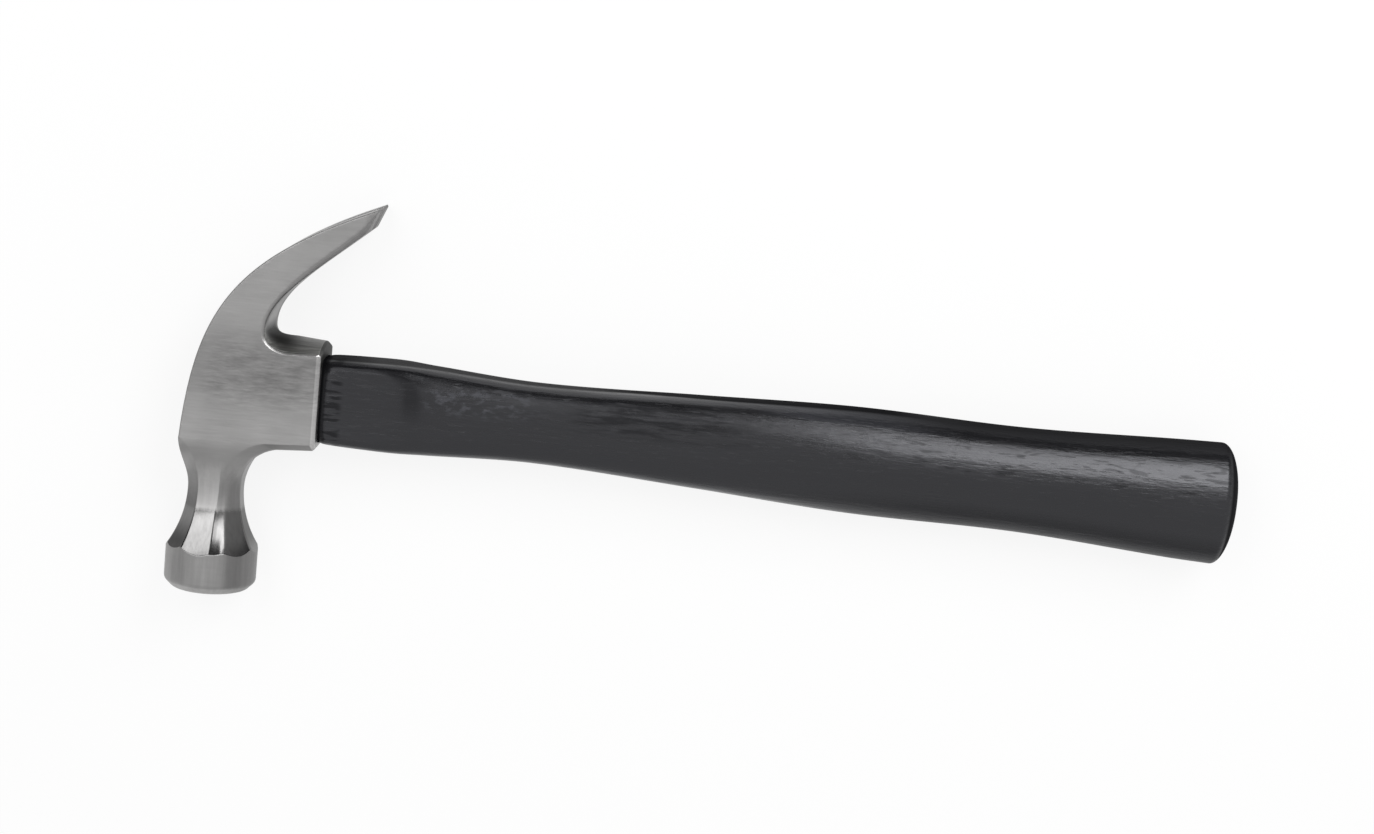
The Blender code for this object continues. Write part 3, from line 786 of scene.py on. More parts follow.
def eye_narrowing(head, x):
    """How much narrower the eye is at x than at the socket's mouth, on each side."""
    if x > EYE_WAIST_REACH:
        return EYE_PINCH * (head.socket_reach - x) / (head.socket_reach - EYE_WAIST_REACH)
    return EYE_PINCH - EYE_FLARE * (EYE_WAIST_REACH - x) / (EYE_WAIST_REACH + CROWN_REACH)


def eye_ring(head, x, gap):
    narrowing = eye_narrowing(head, x) + gap
    half_depth = head.socket_depth / 2 - SOCKET_WALL - narrowing
    half_thickness = head.cheek_width / 2 - CHEEK_WALL - narrowing
    return oval_ring(x, 0.0, half_depth, half_thickness, EYE_SQUARENESS)


def eye_cutter(head):
    stations = (-CROWN_REACH - OVERCUT, EYE_WAIST_REACH, head.socket_reach + OVERCUT)
    return make_piece("eye_cutter", loft([eye_ring(head, x, 0.0) for x in stations]))


def soften_eye(piece, head):
    """Bevel the two rims where the eye comes out of the head."""
    shape = bmesh.new()
    shape.from_mesh(piece.data)
    bmesh.ops.remove_doubles(shape, verts=shape.verts, dist=EYE_MERGE_GAP)
    half_depth = head.socket_depth / 2 - SOCKET_WALL / 2
    half_thickness = head.cheek_width / 2 - CHEEK_WALL / 2
    rim = []
    for edge in shape.edges:
        middle = (edge.verts[0].co + edge.verts[1].co) / 2 - ORIGIN
        inside = abs(middle.y) < half_depth and abs(middle.z) < half_thickness
        if inside and edge.calc_face_angle(0.0) > EYE_RIM_ANGLE:
            rim.append(edge)
    bevel_edges(shape, rim, EYE_SOFTNESS, EYE_SEGMENTS)
    shape.to_mesh(piece.data)
    shape.free()


Station = namedtuple("Station", "reach above below thickness squareness")


def handle_stations(head, handle):
    """Sections that the handle runs through smoothly, from the socket's mouth to the butt."""
    mouth = head.socket_reach
    butt = handle.butt_reach
    eye_depth = head.socket_depth / 2 - SOCKET_WALL - FIT_GAP
    eye_thickness = head.cheek_width - 2 * (CHEEK_WALL + FIT_GAP)
    waist = handle.waist_thickness
    grip = handle.grip_thickness
    end = handle.butt_thickness
    return (
        Station(mouth, eye_depth, eye_depth, eye_thickness, EYE_SQUARENESS),
        Station(mouth + 2.2 * MM, 13.3 * MM, 13.3 * MM, 21.0 * MM, 6.0),
        Station(mouth + 15 * MM, 13.6 * MM, 13.75 * MM, 21.6 * MM, 7.0),
        Station(mouth + 24 * MM, 13.65 * MM, 14.0 * MM, 21.0 * MM, 6.5),
        Station(mouth + 33 * MM, 13.15 * MM, 14.0 * MM, 19.8 * MM, 4.8),
        Station(mouth + 67 * MM, 11.1 * MM, 13.2 * MM, waist, 4.0),
        Station(mouth + 117 * MM, 12.4 * MM, 16.3 * MM, 21.2 * MM, 3.2),
        Station(butt - 121 * MM, 13.85 * MM, 19.75 * MM, grip, 2.1),
        Station(butt - 68 * MM, 12.5 * MM, 20.5 * MM, grip + 0.2 * MM, 2.1),
        Station(butt - 19 * MM, 13.7 * MM, 23.9 * MM, end - 0.4 * MM, 2.1),
        Station(butt - handle.butt_dome, 13.9 * MM, 24.5 * MM, end, 2.15),
    )


def slope_at(stations, index, column):
    """How steeply one measure of the sections changes at a station."""
    before = stations[max(index - 1, 0)]
    after = stations[min(index + 1, len(stations) - 1)]
    return (after[column] - before[column]) / (after.reach - before.reach)


def section_at(stations, x):
    """The handle's section at x, on a smooth run through the stations."""
    index = max(i for i in range(len(stations) - 1) if stations[i].reach <= x or i == 0)
    start, end = stations[index], stations[index + 1]
    span = end.reach - start.reach
    values = []
    for column in range(1, len(start)):
        start_pull = slope_at(stations, index, column) * span / 3
        end_pull = slope_at(stations, index + 1, column) * span / 3
        control = (start[column], start[column] + start_pull, end[column] - end_pull, end[column])
        values.append(curve_point(control, (x - start.reach) / span))
    return Station(x, *values)


def section_ring(section, scale=1.0, push=0.0):
    """Ring of a section, which the butt's dome shrinks and pushes out."""
    centre = (section.above - section.below) / 2
    half_depth = (section.above + section.below) / 2 * scale
    half_thickness = section.thickness / 2 * scale
    return oval_ring(section.reach + push, centre, half_depth, half_thickness, section.squareness)


def flatten(ring, half_flat):
    """Plane the handle down to its two flats, with a slightly rounded edge."""
    for point in ring:
        excess = abs(point.z) - half_flat
        blend = min(max(0.5 + 0.5 * excess / FLAT_SOFTNESS, 0.0), 1.0)
        planed = lerp(abs(point.z), half_flat, blend) - FLAT_SOFTNESS * blend * (1 - blend)
        point.z = planed if point.z > 0 else -planed
    return ring


def handle_rings(head, handle):
    """Tenon, handle and domed butt."""
    stations = handle_stations(head, handle)
    mouth, end = stations[0].reach, stations[-1].reach
    half_flat = handle.flat_thickness / 2
    flats_end = mouth + handle.flat_length
    rings = []
    for row in range(TENON_ROWS):
        x = lerp(-CROWN_REACH - OVERCUT, mouth, row / TENON_ROWS)
        rings.append(eye_ring(head, x, FIT_GAP))
    for row in range(HANDLE_ROWS + 1):
        section = section_at(stations, lerp(mouth, end, row / HANDLE_ROWS))
        ring = section_ring(section)
        rings.append(flatten(ring, half_flat) if section.reach < flats_end else ring)
    for row in range(1, DOME_ROWS + 1):
        turn = pi / 2 * row / (DOME_ROWS + DOME_TIP_ROWS)
        rings.append(section_ring(section_at(stations, end), cos(turn), handle.butt_dome * sin(turn)))
    return rings


def eye_crown(head):
    """Points of the crown on the two sides of the eye."""
    return crown_points(head, [EYE_CROWN_SHARE, SOCKET_CROWN_SHARE])


def trim_to_crown(shape, head):
    """Cut off what stands further out of the eye than the tenon does."""
    low, high = eye_crown(head)
    outward = UPRIGHT.cross((high - low).normalized())
    made = bmesh.ops.bisect_plane(
        shape,
        geom=shape.verts[:] + shape.edges[:] + shape.faces[:],
        plane_co=low + TENON_PROUD * outward,
        plane_no=outward,
        clear_outer=True,
    )
    rim = [item for item in made["geom_cut"] if isinstance(item, bmesh.types.BMEdge)]
    bmesh.ops.holes_fill(shape, edges=rim)
    return shape


def crown_middle(head):
    """How far along X the handle's axis meets the crown."""
    low, high = eye_crown(head)
    return lerp(low.x, high.x, -low.y / (high.y - low.y))


def wedge_shape(head, size, gap, offset=0.0):
    """Wedge driven along X into the tenon, larger by a gap on its sides and at its point."""
    start = crown_middle(head)
    slope = (size.head - size.point) / 2 / size.length
    far = start + size.length + gap
    shape = bmesh.new()
    made = bmesh.ops.create_cube(shape, size=2.0)
    for vert in made["verts"]:
        x = start - OVERCUT if vert.co.x < 0 else far
        thick = size.head / 2 - slope * (x - gap - start) + gap
        wide = size.width / 2 + gap
        half_y, half_z = (thick, wide) if size.across else (wide, thick)
        vert.co = (x, offset + vert.co.y * half_y, vert.co.z * half_z)
    return shape


WedgeSize = namedtuple("WedgeSize", "length width head point across")


def wedge_size(handle, kind):
    """Size of the wooden wedge, or of the steel ones that are driven across it."""
    measures = ("length", "width", "head", "point")
    sizes = [getattr(handle, f"{kind}_wedge_{measure}") for measure in measures]
    return WedgeSize(*sizes, across=kind == "steel")


def slot_cutters(head, handle):
    """Slots that the steel wedges are driven into."""
    cutters = []
    for side in (1, -1):
        offset = side * handle.steel_wedge_spacing / 2
        shape = wedge_shape(head, wedge_size(handle, "steel"), FIT_GAP, offset)
        cutters.append(make_piece("slot_cutter", shape))
    return cutters


def soft_wedge(head, size, offset=0.0):
    """Driven wedge, trimmed where it comes out of the eye, with all its edges bevelled."""
    shape = trim_to_crown(wedge_shape(head, size, 0.0, offset), head)
    return bevel_edges(shape, shape.edges[:], WEDGE_SOFTNESS, WEDGE_SEGMENTS)


# Materials


class Tone:
    """A number that changes over a surface. Arithmetic on it adds Math nodes."""

    def __init__(self, nodes, socket):
        self.nodes = nodes
        self.socket = socket

    def math(self, operation, *values):
        made = self.nodes.node("ShaderNodeMath", {"operation": operation}, dict(enumerate(values)))
        return Tone(self.nodes, made.outputs[0])

    def __add__(self, other):
        return self.math("ADD", self, other)

    def __sub__(self, other):
        return self.math("SUBTRACT", self, other)

    def __rsub__(self, other):
        return self.math("SUBTRACT", other, self)

    def __mul__(self, other):
        return self.math("MULTIPLY", self, other)

    def __pow__(self, other):
        return self.math("POWER", self, other)

    def __abs__(self):
        return self.math("ABSOLUTE", self)

    __radd__ = __add__
    __rmul__ = __mul__

    def between(self, low, high):
        """Smooth step from 0 at low to 1 at high. It falls where low is above high."""
        settings = {"interpolation_type": "SMOOTHSTEP"}
        made = self.nodes.node("ShaderNodeMapRange", settings, {"Value": self, 1: low, 2: high})
        return Tone(self.nodes, made.outputs["Result"])

    def window(self, limits):
        """Smooth step over two limits, or a rise over the first two and a fall over the last two."""
        rise, fall = limits[:2], limits[2:]
        part = self.between(*rise)
        return part * self.between(*reversed(fall)) if fall else part

    def swing(self, amount):
        """How far the number is from its middle, times an amount."""
        return (self - 0.5) * amount

    def ranging(self, low, high):
        """From low where the number is 0 to high where it is 1."""
        return low + self * (high - low)


def any_of(parts):
    """How much of a surface at least one of several soft masks covers."""
    return 1 - prod(1 - part for part in parts)


class Nodes:
    """The nodes of a material or of the world"""

    def __init__(self, tree):
        self.tree = tree

    def node(self, kind, settings=None, inputs=None):
        """Add a node, with its settings first and then the values or links of its sockets."""
        made = self.tree.nodes.new(kind)
        for name, value in (settings or {}).items():
            setattr(made, name, value)
        for key, value in (inputs or {}).items():
            self.feed(made.inputs[key], value)
        return made

    def feed(self, socket, value):
        if isinstance(value, Tone):
            value = value.socket
        if isinstance(value, bpy.types.NodeSocket):
            self.tree.links.new(value, socket)
        elif socket.type == "RGBA":
            socket.default_value = (*value, 1.0)
        else:
            socket.default_value = value

    def axes(self, vector):
        made = self.node("ShaderNodeSeparateXYZ", None, {0: vector})
        return [Tone(self, socket) for socket in made.outputs]


# Noise with so many waves to the millimetre along X, Y and Z, cut to limits where it has any
Grain = namedtuple("Grain", "scale detail roughness limits", defaults=(0.5, None))


class Finish(Nodes):
    """A material with one shader, which another may cover in places"""

    def __init__(self, name):
        self.material = bpy.data.materials.new(name)
        self.material.use_nodes = True
        super().__init__(self.material.node_tree)
        self.shader = self.tree.nodes["Principled BSDF"]

    def place(self, scale=(1.0, 1.0, 1.0)):
        """Place on the hammer in millimetres, stretched by a scale along each axis."""
        whole = [number / MM for number in scale]
        shift = [-number * part for number, part in zip(ORIGIN, whole)]
        source = self.node("ShaderNodeTexCoord").outputs["Object"]
        inputs = {"Vector": source, "Scale": whole, "Location": shift}
        return self.node("ShaderNodeMapping", None, inputs).outputs[0]

    def noise(self, grain):
        inputs = {
            "Vector": self.place(grain.scale),
            "Scale": 1.0,
            "Detail": grain.detail,
            "Roughness": grain.roughness,
        }
        tone = Tone(self, self.node("ShaderNodeTexNoise", None, inputs).outputs[0])
        return tone.between(*grain.limits) if grain.limits else tone

    def mix(self, part, start, end):
        """Colour between two colours."""
        inputs = {0: part, 6: start, 7: end}
        return self.node("ShaderNodeMix", {"data_type": "RGBA"}, inputs).outputs[2]

    def shade(self, tint, part):
        """Colour made darker or lighter by a number."""
        made = self.node("ShaderNodeVectorMath", {"operation": "SCALE"}, {0: tint, "Scale": part})
        return made.outputs[0]

    def bump(self, height, distance):
        inputs = {"Strength": 1.0, "Distance": distance, "Height": height}
        return self.node("ShaderNodeBump", None, inputs).outputs[0]

    def surface(self, inputs):
        """Feed the first shader, and give the finished material."""
        for name, value in inputs.items():
            self.feed(self.shader.inputs[name], value)
        return self.material

    def cover(self, part, kind, tint):
        """Lay another kind of shader over the first one."""
        over = self.node(kind, None, {"Color": tint})
        inputs = {0: part, 1: self.shader.outputs[0], 2: over.outputs[0]}
        mixed = self.node("ShaderNodeMixShader", None, inputs)
        self.feed(self.tree.nodes["Material Output"].inputs["Surface"], mixed.outputs[0])


class Zone:
    """Part of a surface between soft limits, and how strongly it differs from the rest

    Reach, rise and depth are places along X, Y and Z, and across is the distance from the poll's axis,
    all in millimetres. Buttward, clawward and facing are the parts of the normal along X, Y and Z.
    Depth and facing have no sign, and aside is buttward without its sign.
    """

    def __init__(self, strength=1.0, **limits):
        self.strength = strength
        self.limits = limits


class ZonedFinish(Finish):
    """A material that differs from zone to zone of the hammer"""

    def __init__(self, name, looks):
        super().__init__(name)
        self.looks = looks
        x, y, z = self.axes(self.place())
        buttward, clawward, outward = self.axes(self.node("ShaderNodeTexCoord").outputs["Normal"])
        self.reach = x
        self.rise = y
        self.depth = abs(z)
        self.across = (x * x + z * z) ** 0.5
        self.buttward = buttward
        self.aside = abs(buttward)
        self.clawward = clawward
        self.facing = abs(outward)

    def inside(self, zone):
        """The zone's strength inside it, and 0 outside."""
        parts = [getattr(self, measure).window(limits) for measure, limits in zone.limits.items()]
        return prod(parts, start=zone.strength)


# Steel of the head: its grain, what each zone is and how much lighter or darker it is, which is mostly
# painted highlight or painted shade

STROKES = Grain((1.0, 0.06, 1.0), 2.0)
DASHES = Grain((0.22, 1.1, 0.6), 3.0, 0.6)
STREAKS = Grain((0.10, 1.7, 0.6), 4.0, 0.6)
PATCHES = Grain((0.06, 0.06, 0.06), 2.0, limits=(0.35, 0.65))
GRIT = Grain((2.6, 2.6, 2.6), 2.0)
STEEL_RELIEF = 0.02 * MM

FLARE = Zone(across=(14.16, 14.06), rise=(-52.5, -52.0))
POLISH_EDGE = (-36.0, -37.9)
POLISH_WANDER = 1.2
POLISH_TONES = (0.53, 0.81)
# Painted reflections on the polished flare: shade on the foot of the left facets, on the narrow strip and
# on the right front facet, a glint on the strip, and black on the right facet
FLARE_FOOT_PAINTED_SHADE = Zone(0.56, rise=(-39.0, -48.0))
FLARE_STRIP = Zone(buttward=(0.05, 0.15, 0.35, 0.5))
PAINTED_FLARE_GLINT = Zone(0.25, reach=(2.5, 3.3), rise=(-51.0, -48.0, -43.0, -39.0))
FLARE_RIGHT_FRONT_PAINTED_SHADE = Zone(0.4, buttward=(0.4, 0.6))
FLARE_RIGHT_PAINTED_SHADE = Zone(0.5, buttward=(0.8, 0.92))
LEFT_FACET_PAINTED_SHADE = 0.28
STRIP_PAINTED_SHADE = 0.5

# The poll's sides, the neck's front and sides, the left facets and the underside get painted highlights and
# painted shade
POLL = Zone(rise=(-46.0, -48.0))
POLL_RIGHT = Zone(0.25, buttward=(0.1, 0.8))
POLL_LEFT = Zone(0.12, buttward=(-0.1, -0.8))
NECK_FRONT = Zone(0.42, rise=(-20.0, -25.0), facing=(0.85, 0.97))
NECK_SIDES = Zone(0.36, rise=(-13.0, -16.0), aside=(0.3, 0.7))
POLL_SIDES_SHARE = 0.28
LEFT_FACETS = Zone(buttward=(-0.4, -0.7))
LEFT_NECK = Zone(0.35, rise=(-27.0, -37.0))
UNDERSIDE = Zone(0.28, rise=(-20.0, -16.0), clawward=(-0.3, -0.7))

STREAKED_CHEEK = Zone(reach=(-8.0, 2.0), rise=(-6.0, 4.0, 12.0, 22.0))
CHEEK_DARKNESS = 0.1
# Painted shade high on the cheek, and painted highlight low on it, more so towards the crown
UPPER_CHEEK = Zone(0.16, rise=(-2.0, 6.0, 16.0, 27.0))
LOWER_CHEEK = Zone(0.12, rise=(-18.0, -14.0, -10.0, 2.0), facing=(0.9, 0.97))
CROWN_SIDE = Zone(0.83, reach=(0.0, -8.0))
LENGTHWAYS = Zone(rise=(-18.0, -26.0))
PATCH_TONES = (0.94, 1.02)
DASH_CONTRAST = 0.1
CHEEK_DASH_CONTRAST = 0.85
STREAK_CONTRAST = 0.2
STROKE_CONTRAST = 0.3

SOCKET = Zone(reach=(11.0, 13.0), rise=(-16.0, -13.0, 20.0, 24.0), facing=(0.66, 0.5))
# Painted highlights on the socket's top towards the cheeks, on its ridge and on the mouth's rim, and
# painted shade on its end and in the corner under the claw
SOCKET_SIDES = Zone(1.2, depth=(7.0, 11.5))
SOCKET_END_PAINTED_SHADE = Zone(0.5, reach=(30.5, 30.7), rise=(20.0, 18.0))
GROUND_END = Zone(reach=(30.5, 30.7), rise=(12.0, 9.0))
SOCKET_RIDGE = Zone(1.1, reach=(11.0, 13.0), rise=(26.0, 22.0), clawward=(0.2, 0.4), facing=(0.5, 0.65))
MOUTH_RIM = Zone(0.5, reach=(29.8, 30.0), rise=(20.0, 18.0), facing=(0.3, 0.45), buttward=(0.2, 0.4))
CLAW_ROOT = Zone(reach=(26.0, 17.0))
CLAW_ROOT_SIDES = Zone(0.7, depth=(5.0, 12.0))
CLAW_ROOT_CORNER = Zone(0.7, rise=(21.5, 18.5))
ROOT_PAINTED_SHADE = 0.88
FORGED_CONTRAST = 1.8

# Black painted shade on the claw's hollow and its tip wall, painted highlight on its inner edge, and
# painted shade towards its end and tip
HOLLOW_WALL = Zone(rise=(20.0, 24.0, 38.0, 50.0), buttward=(0.35, 0.6), facing=(0.6, 0.4))
HOLLOW_WALL_SIDES = Zone(0.27, depth=(5.0, 11.0))
HOLLOW_PAINTED_SHADE = 0.16
INNER_EDGE = Zone(0.5, rise=(31.0, 38.0), clawward=(-0.1, -0.4), facing=(0.92, 0.65))
CLAW_END = Zone(0.12, rise=(42.0, 54.0))
CLAW_TIP = Zone(0.13, rise=(52.0, 54.0))
TIP_WALL_PAINTED_SHADE = Zone(0.4, rise=(50.0, 53.0), buttward=(0.7, 0.85), facing=(0.5, 0.2))
TIP_TURN = radians(20.87)
TIP_EDGE = (17.9, 19.3)

STREAK_ROUGHNESS = 0.16
DASH_ROUGHNESS = 0.10
FORGED_ROUGHNESS = 0.04
GRIT_HEIGHT = 0.25


class HeadSteel(ZonedFinish):
    """Ground cheeks and claw, turned poll, polished flare and forged socket, with painted highlights and
    painted shade
    """

    def __init__(self, looks):
        super().__init__("head_steel", looks)
        self.strokes = self.noise(STROKES)
        self.dashes = self.noise(DASHES)
        self.streaks = self.noise(STREAKS)
        edge = self.rise + self.strokes.swing(POLISH_WANDER)
        self.polished = self.inside(FLARE) * edge.between(*POLISH_EDGE)
        self.poll = self.inside(POLL)
        self.left = self.inside(LEFT_FACETS)
        self.forged = self.inside(SOCKET) * (1 - self.inside(GROUND_END))
        self.end = self.forged * self.inside(SOCKET_END_PAINTED_SHADE)
        self.root = self.forged * self.inside(CLAW_ROOT) * (1 - self.inside(CLAW_ROOT_SIDES))

    def grinding(self):
        """Marks that run across the cheeks and the claw, and along the neck and the poll."""
        cheek = self.inside(STREAKED_CHEEK) * (1 - self.forged)
        lengthways = self.inside(LENGTHWAYS)
        patches = self.noise(PATCHES).ranging(*PATCH_TONES)
        dashes = self.dashes.swing(1.0) * (DASH_CONTRAST + cheek * CHEEK_DASH_CONTRAST)
        streaks = self.streaks.swing(STREAK_CONTRAST) * (1 - lengthways)
        strokes = self.strokes.swing(STROKE_CONTRAST) * lengthways
        return (patches + dashes + streaks + strokes) * (1 - cheek * CHEEK_DARKNESS)

    def ground_tone(self):
        """How light the ground and the forged steel is: grinding marks, then painted highlights and painted
        shade zone by zone.
        """
        above_poll = 1 - self.poll
        beside_tip = self.reach * cos(TIP_TURN) - self.rise * sin(TIP_TURN)
        # Painted highlights on the neck's front, the poll's left side, the lower cheek, the mouth's rim,
        # the socket's ridge, the socket's top towards the cheeks and the claw's inner edge; the streaks on
        # the forged steel are its own
        lights = (
            self.inside(NECK_FRONT) * above_poll * (1 - self.polished),
            self.inside(POLL_LEFT) * self.poll,
            self.inside(LOWER_CHEEK) * (1 + self.inside(CROWN_SIDE)),
            self.inside(MOUTH_RIM),
            self.inside(SOCKET_RIDGE),
            self.inside(SOCKET_SIDES) * self.forged,
            self.streaks.swing(FORGED_CONTRAST) * self.forged,
            self.inside(INNER_EDGE),
        )
        # Painted shade on the neck's sides and left facets, the poll's right side, the underside, the upper
        # cheek, the corner under the claw, the socket's end, the claw's end and a line beside its tip
        painted_shades = (
            self.inside(NECK_SIDES) * (1 - self.poll * POLL_SIDES_SHARE),
            self.inside(LEFT_NECK) * self.left * above_poll,
            self.inside(POLL_RIGHT) * self.poll,
            self.inside(UNDERSIDE),
            self.inside(UPPER_CHEEK) * (1 - self.forged),
            self.root * ROOT_PAINTED_SHADE,
            self.end,
            self.inside(CLAW_END),
            self.inside(CLAW_TIP) * beside_tip.between(*TIP_EDGE),
        )
        tone = self.grinding() * prod(1 + light for light in lights)
        return tone * prod(1 - dark for dark in painted_shades)

    def polish_and_painted_reflections(self):
        """How light each facet of the polished flare is: the polish's strokes, with painted shade on the
        left facets, their foot, the narrow strip and the right front facet, and a painted glint on the
        strip.
        """
        left = self.left * (LEFT_FACET_PAINTED_SHADE + self.inside(FLARE_FOOT_PAINTED_SHADE))
        strip = self.inside(FLARE_STRIP) * (STRIP_PAINTED_SHADE - self.inside(PAINTED_FLARE_GLINT))
        right = self.inside(FLARE_RIGHT_FRONT_PAINTED_SHADE)
        return self.strokes.ranging(*POLISH_TONES) * (1 - left) * (1 - strip) * (1 - right)

    def scale(self):
        """How much of the surface black painted shade covers: the corner under the claw, the socket's end,
        the flare's right facet, the wall by the claw's tip and the claw's hollow.
        """
        wall = self.inside(HOLLOW_WALL) * (HOLLOW_PAINTED_SHADE + self.inside(HOLLOW_WALL_SIDES))
        corner = self.inside(CLAW_ROOT_CORNER) * self.root
        right = self.inside(FLARE_RIGHT_PAINTED_SHADE) * self.polished
        return any_of((corner, self.end, right, self.inside(TIP_WALL_PAINTED_SHADE), wall))

    def made(self):
        looks = self.looks
        ground = 1 - self.polished
        tint = self.mix(self.forged, looks.ground_steel, looks.forged_steel)
        tone = self.ground_tone() * ground + self.polish_and_painted_reflections() * self.polished
        roughness = looks.steel_roughness + self.streaks.swing(STREAK_ROUGHNESS)
        roughness = (roughness + self.dashes.swing(DASH_ROUGHNESS)) * ground
        roughness = roughness + self.polished * looks.polish_roughness + self.forged * FORGED_ROUGHNESS
        height = self.streaks * ground + self.noise(GRIT) * (GRIT_HEIGHT + self.forged)
        # Black painted shade over the corner under the claw, the socket's end, the flare's right facet, the
        # claw's tip and its hollow
        self.cover(self.scale(), "ShaderNodeBsdfDiffuse", looks.painted_black_shade)
        return self.surface({
            "Base Color": self.shade(tint, tone),
            "Metallic": 1.0,
            "Roughness": roughness,
            "Normal": self.bump(height, STEEL_RELIEF),
        })


# Paint of the handle: its grain, what each zone is, how much dull black painted shade covers it and where
# painted highlights lighten it

WOOD_GRAIN = Grain((0.03, 0.9, 0.9), 6.0, 0.65)
WAVES = Grain((0.07, 0.6, 0.6), 3.0, 0.6)
TEETH = Grain((0.2, 0.8, 0.8), 3.0, 0.6)
CLOUDS = Grain((0.02, 0.07, 0.07), 2.0)
PORES = Grain((0.2, 1.3, 1.3), 2.0, limits=(0.60, 0.68))
MARKS = Grain((0.1, 0.7, 0.7), 2.0, limits=(0.52, 0.60))
PITS = Grain((0.15, 0.7, 0.7), 1.0, limits=(0.58, 0.66))
REFLECTION_SPECKS = Grain((0.3, 0.5, 0.5), 3.0, 0.6, limits=(0.48, 0.66))
PAINT_RELIEF = 0.08 * MM

GRIP = Zone(reach=(150.0, 235.0))
# Painted shade in dull black: on the butt's end, along the claw's and the poll's edges, on the waist's
# stripe and shade, and at the shoulder
BUTT_END = Zone(0.95, buttward=(0.5, 0.75))
CLAW_EDGE_NORMAL = (0.3, 0.85)
CLAW_EDGE = (0.26, 0.9)
CLAW_EDGE_PAINTED_SHADE = 0.97
POLL_EDGE = Zone(0.42, clawward=(-0.25, -0.6))
STRIPE = Zone(clawward=(0.75, 0.95))
STRIPE_PAINTED_SHADE = 0.3
FLATS_STRIPE = Zone(0.4, reach=(50.0, 38.0))
WAIST_STRIPE = Zone(0.25, reach=(105.0, 130.0))
SHADE = Zone(clawward=(0.7, 0.8), reach=(230.0, 205.0))
PAINTED_SHADE_STRENGTH = 0.8
WAIST_SHADE = Zone(0.15, reach=(105.0, 130.0))
SHADE_FACING = (0.16, 0.0)
WAIST_FACING = Zone(0.18, reach=(125.0, 160.0))
GRIP_FACING = Zone(0.17, reach=(150.0, 195.0))
SHOULDER = Zone(0.6, clawward=(0.05, 0.2, 0.7, 0.9), reach=(68.0, 60.0))

# Painted shade in streaks below the waist's stripe, painted shadow at the socket's mouth and painted shade
# where the flats end; the pits and marks are the paint's own
STREAKED_PAINTED_SHADE = Zone(0.5, reach=(104.0, 118.0, 150.0, 172.0), rise=(-3.0, 2.0, 8.5, 10.5), facing=(0.3, 0.5))
SHADE_STREAK_WAVES = (0.42, 0.6)
PITTED = Zone(0.38, clawward=(0.0, 0.15, 0.5, 0.65))
MOUTH_PAINTED_SHADOW = Zone(reach=(32.6, 31.9))
MARKED = Zone(0.6, reach=(32.4, 33.4, 37.0, 39.0))
FLATS_END = Zone(
    0.4,
    reach=(50.0, 54.0, 64.0, 70.0),
    rise=(-6.0, 4.0),
    depth=(9.85, 10.1, 10.22, 10.31),
    facing=(0.9, 0.95),
)
# Painted highlights: reflection specks beside the flats and a sheen on the claw's side of the grip
PAINTED_REFLECTION_SPECKS = Zone(reach=(60.0, 68.0, 88.0, 104.0), rise=(-1.0, 3.0), facing=(0.8, 0.95))
SPECK_SLOPE = 0.11
SPECK_TOP = (1.5, -0.5)
PAINTED_SHEEN = Zone(0.8, reach=(160.0, 185.0, 205.0, 235.0), clawward=(0.5, 0.65))

GRAIN_ROUGHNESS = 0.2
CLOUD_ROUGHNESS = 0.12
PORE_ROUGHNESS = 0.15
WAVE_HEIGHT = 1.3
TOOTH_HEIGHT = 0.9
GRAIN_HEIGHT = 0.3
PORE_DEPTH = 0.1


